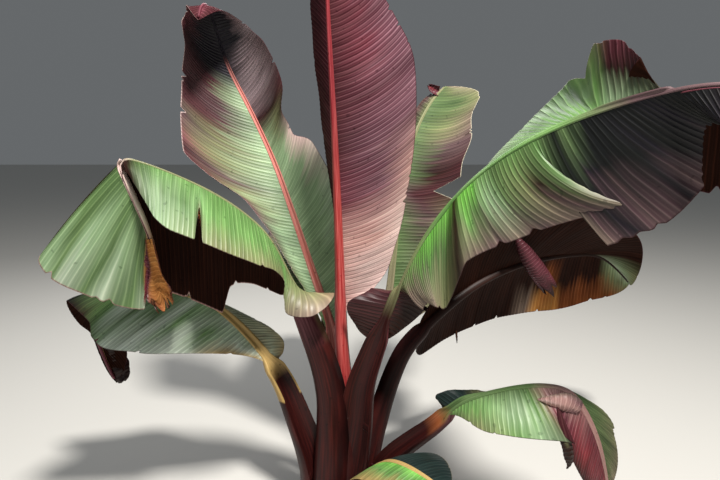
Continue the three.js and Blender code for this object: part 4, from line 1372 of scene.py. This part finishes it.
def heart_mesh():
    """The youngest leaves, rolled up inside the stem: a cone wound with a few low folds."""
    rings = spaced(-BURIED, HEART_HEIGHT + HEART_CAP, HEART_STATION)
    around = np.linspace(0, math.tau, HEART_SIDES, endpoint=False)
    top = np.clip((rings - HEART_HEIGHT) / HEART_CAP, 0, 1)
    radius = mix(HEART_FOOT, HEART_TOP, np.clip(rings / HEART_HEIGHT, 0, 1))
    radius = radius * np.sqrt(1.0001 - top**2)  # nearly 0 at the last ring
    turn = HEART_FOLDS * around[None, :] + rings[:, None] / HEART_TWIST
    fold = 1 + HEART_FOLD_DEPTH * np.cos(turn)
    circle = np.stack([np.cos(around), np.sin(around)], -1)
    circle = circle[None] * (radius[:, None] * fold)[..., None]
    height = np.repeat(rings[:, None, None], HEART_SIDES, axis=1)
    points = np.concatenate([circle, height], axis=-1).reshape(-1, 3)
    r, c = np.meshgrid(np.arange(len(rings) - 1), np.arange(HEART_SIDES), indexing="ij")
    ahead = (c + 1) % HEART_SIDES
    low, high = r * HEART_SIDES, (r + 1) * HEART_SIDES
    quads = np.stack([low + c, low + ahead, high + ahead, high + c], -1).reshape(-1, 4)
    foot = list(range(HEART_SIDES))
    caps = [foot[::-1], [(len(rings) - 1) * HEART_SIDES + k for k in foot]]
    tone = np.tile(tone_values("bark"), (len(points), 1))
    values = {"run": points[:, 2], "share": np.zeros(len(points)), "seed": np.zeros(len(points))}
    colors = {"ground": tone[:, :3], "vein": tone[:, 3:6]}
    return new_piece("heart", points, quads.tolist() + caps, values, colors=colors)


def level_cut(piece):
    """The part of a piece above the ground, closed by a level face."""
    part = bmesh.new()
    part.from_mesh(piece.data)
    whole = part.verts[:] + part.edges[:] + part.faces[:]
    cut = bmesh.ops.bisect_plane(
        part, geom=whole, plane_co=(0, 0, 0), plane_no=(0, 0, -1), clear_outer=True
    )
    edges = [item for item in cut["geom_cut"] if isinstance(item, bmesh.types.BMEdge)]
    bmesh.ops.contextual_create(part, geom=edges)
    part.to_mesh(piece.data)
    part.free()


def stem_piece(material):
    """Every leaf base up to its fork round the rolled heart, cut level at the ground."""
    made = bmesh.new()
    mesh = bpy.data.meshes.new("stem")
    sheaths = []
    for leaf in LEAVES:
        s = np.concatenate([spaced(-BURIED, leaf["fork"], STALK_STATION), leaf["fork"] + TUCK])
        sheaths.append(stalk_mesh(leaf, "sheath", s, tucked(s - leaf["fork"])))
    for layer in [heart_mesh(), *sheaths]:
        level_cut(layer)
        made.from_mesh(layer.data)
        bpy.data.objects.remove(layer)
    made.to_mesh(mesh)
    made.free()
    mesh.materials.append(material)
    return new_object("stem", mesh)


def build_plant():
    GROUPS["vein lines"] = vein_group()
    GROUPS["vein streaks"] = streak_group()
    GROUPS["blotches"] = blotch_group()
    tree = relief_tree()
    rng = np.random.default_rng(11)
    stalks = stalk_material()
    sides = {
        "upper": blade_material(
            "upper side of a leaf", vein_sharpness=9.0, vein_strength=0.5, roughness=0.36, shine=0.25
        ),
        "under": blade_material(
            "under side of a leaf", vein_sharpness=7.0, vein_strength=0.75, roughness=0.55, shine=0.04
        ),
    }
    for seed, leaf in enumerate(LEAVES):
        nicks(leaf, rng)
        blade = blade_piece(leaf, tree, sides, seed, rng)
        stalk = stalk_piece(leaf, stalks)
        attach(blade, "root")
        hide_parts(leaf["name"])
        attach(stalk, "root")
        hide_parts(leaf["name"])
    for seed, strip in enumerate(STRIPS):
        piece = strip_piece(strip, tree, sides, 20 + seed, rng)
        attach(piece, "root")
        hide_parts(strip["leaf"])
    stem = stem_piece(stalks)
    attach(stem, "root")
    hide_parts("pseudostem")


# Stage, in metres
FLOOR_HALF = 40
FLOOR_TONE = (206, 204, 199)
SKY_TONE = (222, 228, 232)
SKY_STRENGTH = 0.18
LIT_PLACE = (0, 0, 0.8)  # every light points here
VIEWER = (0.055, -1.6, 1.1)

# The photograph's view, in its pixels.
PICTURE_WIDTH = 720
FOCAL_LENGTH = 540
HORIZON_RISE = 90  # above the middle of the picture


def build_floor():
    mesh = bpy.data.meshes.new("floor")
    corners = [(x * FLOOR_HALF, y * FLOOR_HALF, 0) for x, y in ((-1, -1), (1, -1), (1, 1), (-1, 1))]
    mesh.from_pydata(corners, [], [(0, 1, 2, 3)])
    material, _, shader = new_material("pale floor")
    shader.inputs["Base Color"].default_value = linear(*FLOOR_TONE)
    shader.inputs["Roughness"].default_value = 0.9
    mesh.materials.append(material)
    floor = new_object("floor", mesh)


def area_light(name, place, size, power, color):
    """A round light, turned towards the plant."""
    data = bpy.data.lights.new(name, "AREA")
    data.shape = "DISK"
    data.size = size
    data.energy = power
    data.color = color
    light = new_object(name, data)
    light.location = place
    x, y, z = np.array(LIT_PLACE) - np.array(place)
    yaw = math.atan2(y, x)
    pitch = math.atan2(z, math.hypot(x, y))
    light.rotation_euler = (math.pi / 2 + pitch, 0, yaw - math.pi / 2)


def build_lights():
    area_light("key", place=(0.8, -2.0, 4.4), size=0.6, power=345, color=(1.0, 0.97, 0.92))
    area_light("fill", place=(-2.6, -2.4, 2.0), size=2.4, power=10, color=(0.9, 0.95, 1.0))
    area_light("back", place=(-0.8, 2.8, 2.8), size=1.6, power=40, color=(1.0, 1.0, 1.0))
    world = bpy.data.worlds.new("pale sky")
    bpy.context.scene.world = world
    world.use_nodes = True
    background = world.node_tree.nodes["Background"]
    background.inputs["Color"].default_value = linear(*SKY_TONE)
    background.inputs["Strength"].default_value = SKY_STRENGTH


def build_camera():
    """In front of the plant, at seven tenths of its height and looking a little down."""
    sensor_width = 36
    data = bpy.data.cameras.new("camera")
    data.sensor_width = sensor_width
    data.lens = sensor_width * FOCAL_LENGTH / PICTURE_WIDTH
    camera = new_object("camera", data)
    camera.location = VIEWER
    camera.rotation_euler = (math.pi / 2 - math.atan2(HORIZON_RISE, FOCAL_LENGTH), 0, 0)
    bpy.context.scene.camera = camera
    bpy.context.scene.view_settings.view_transform = "Standard"


build_camera()
build_floor()
build_lights()
build_plant()
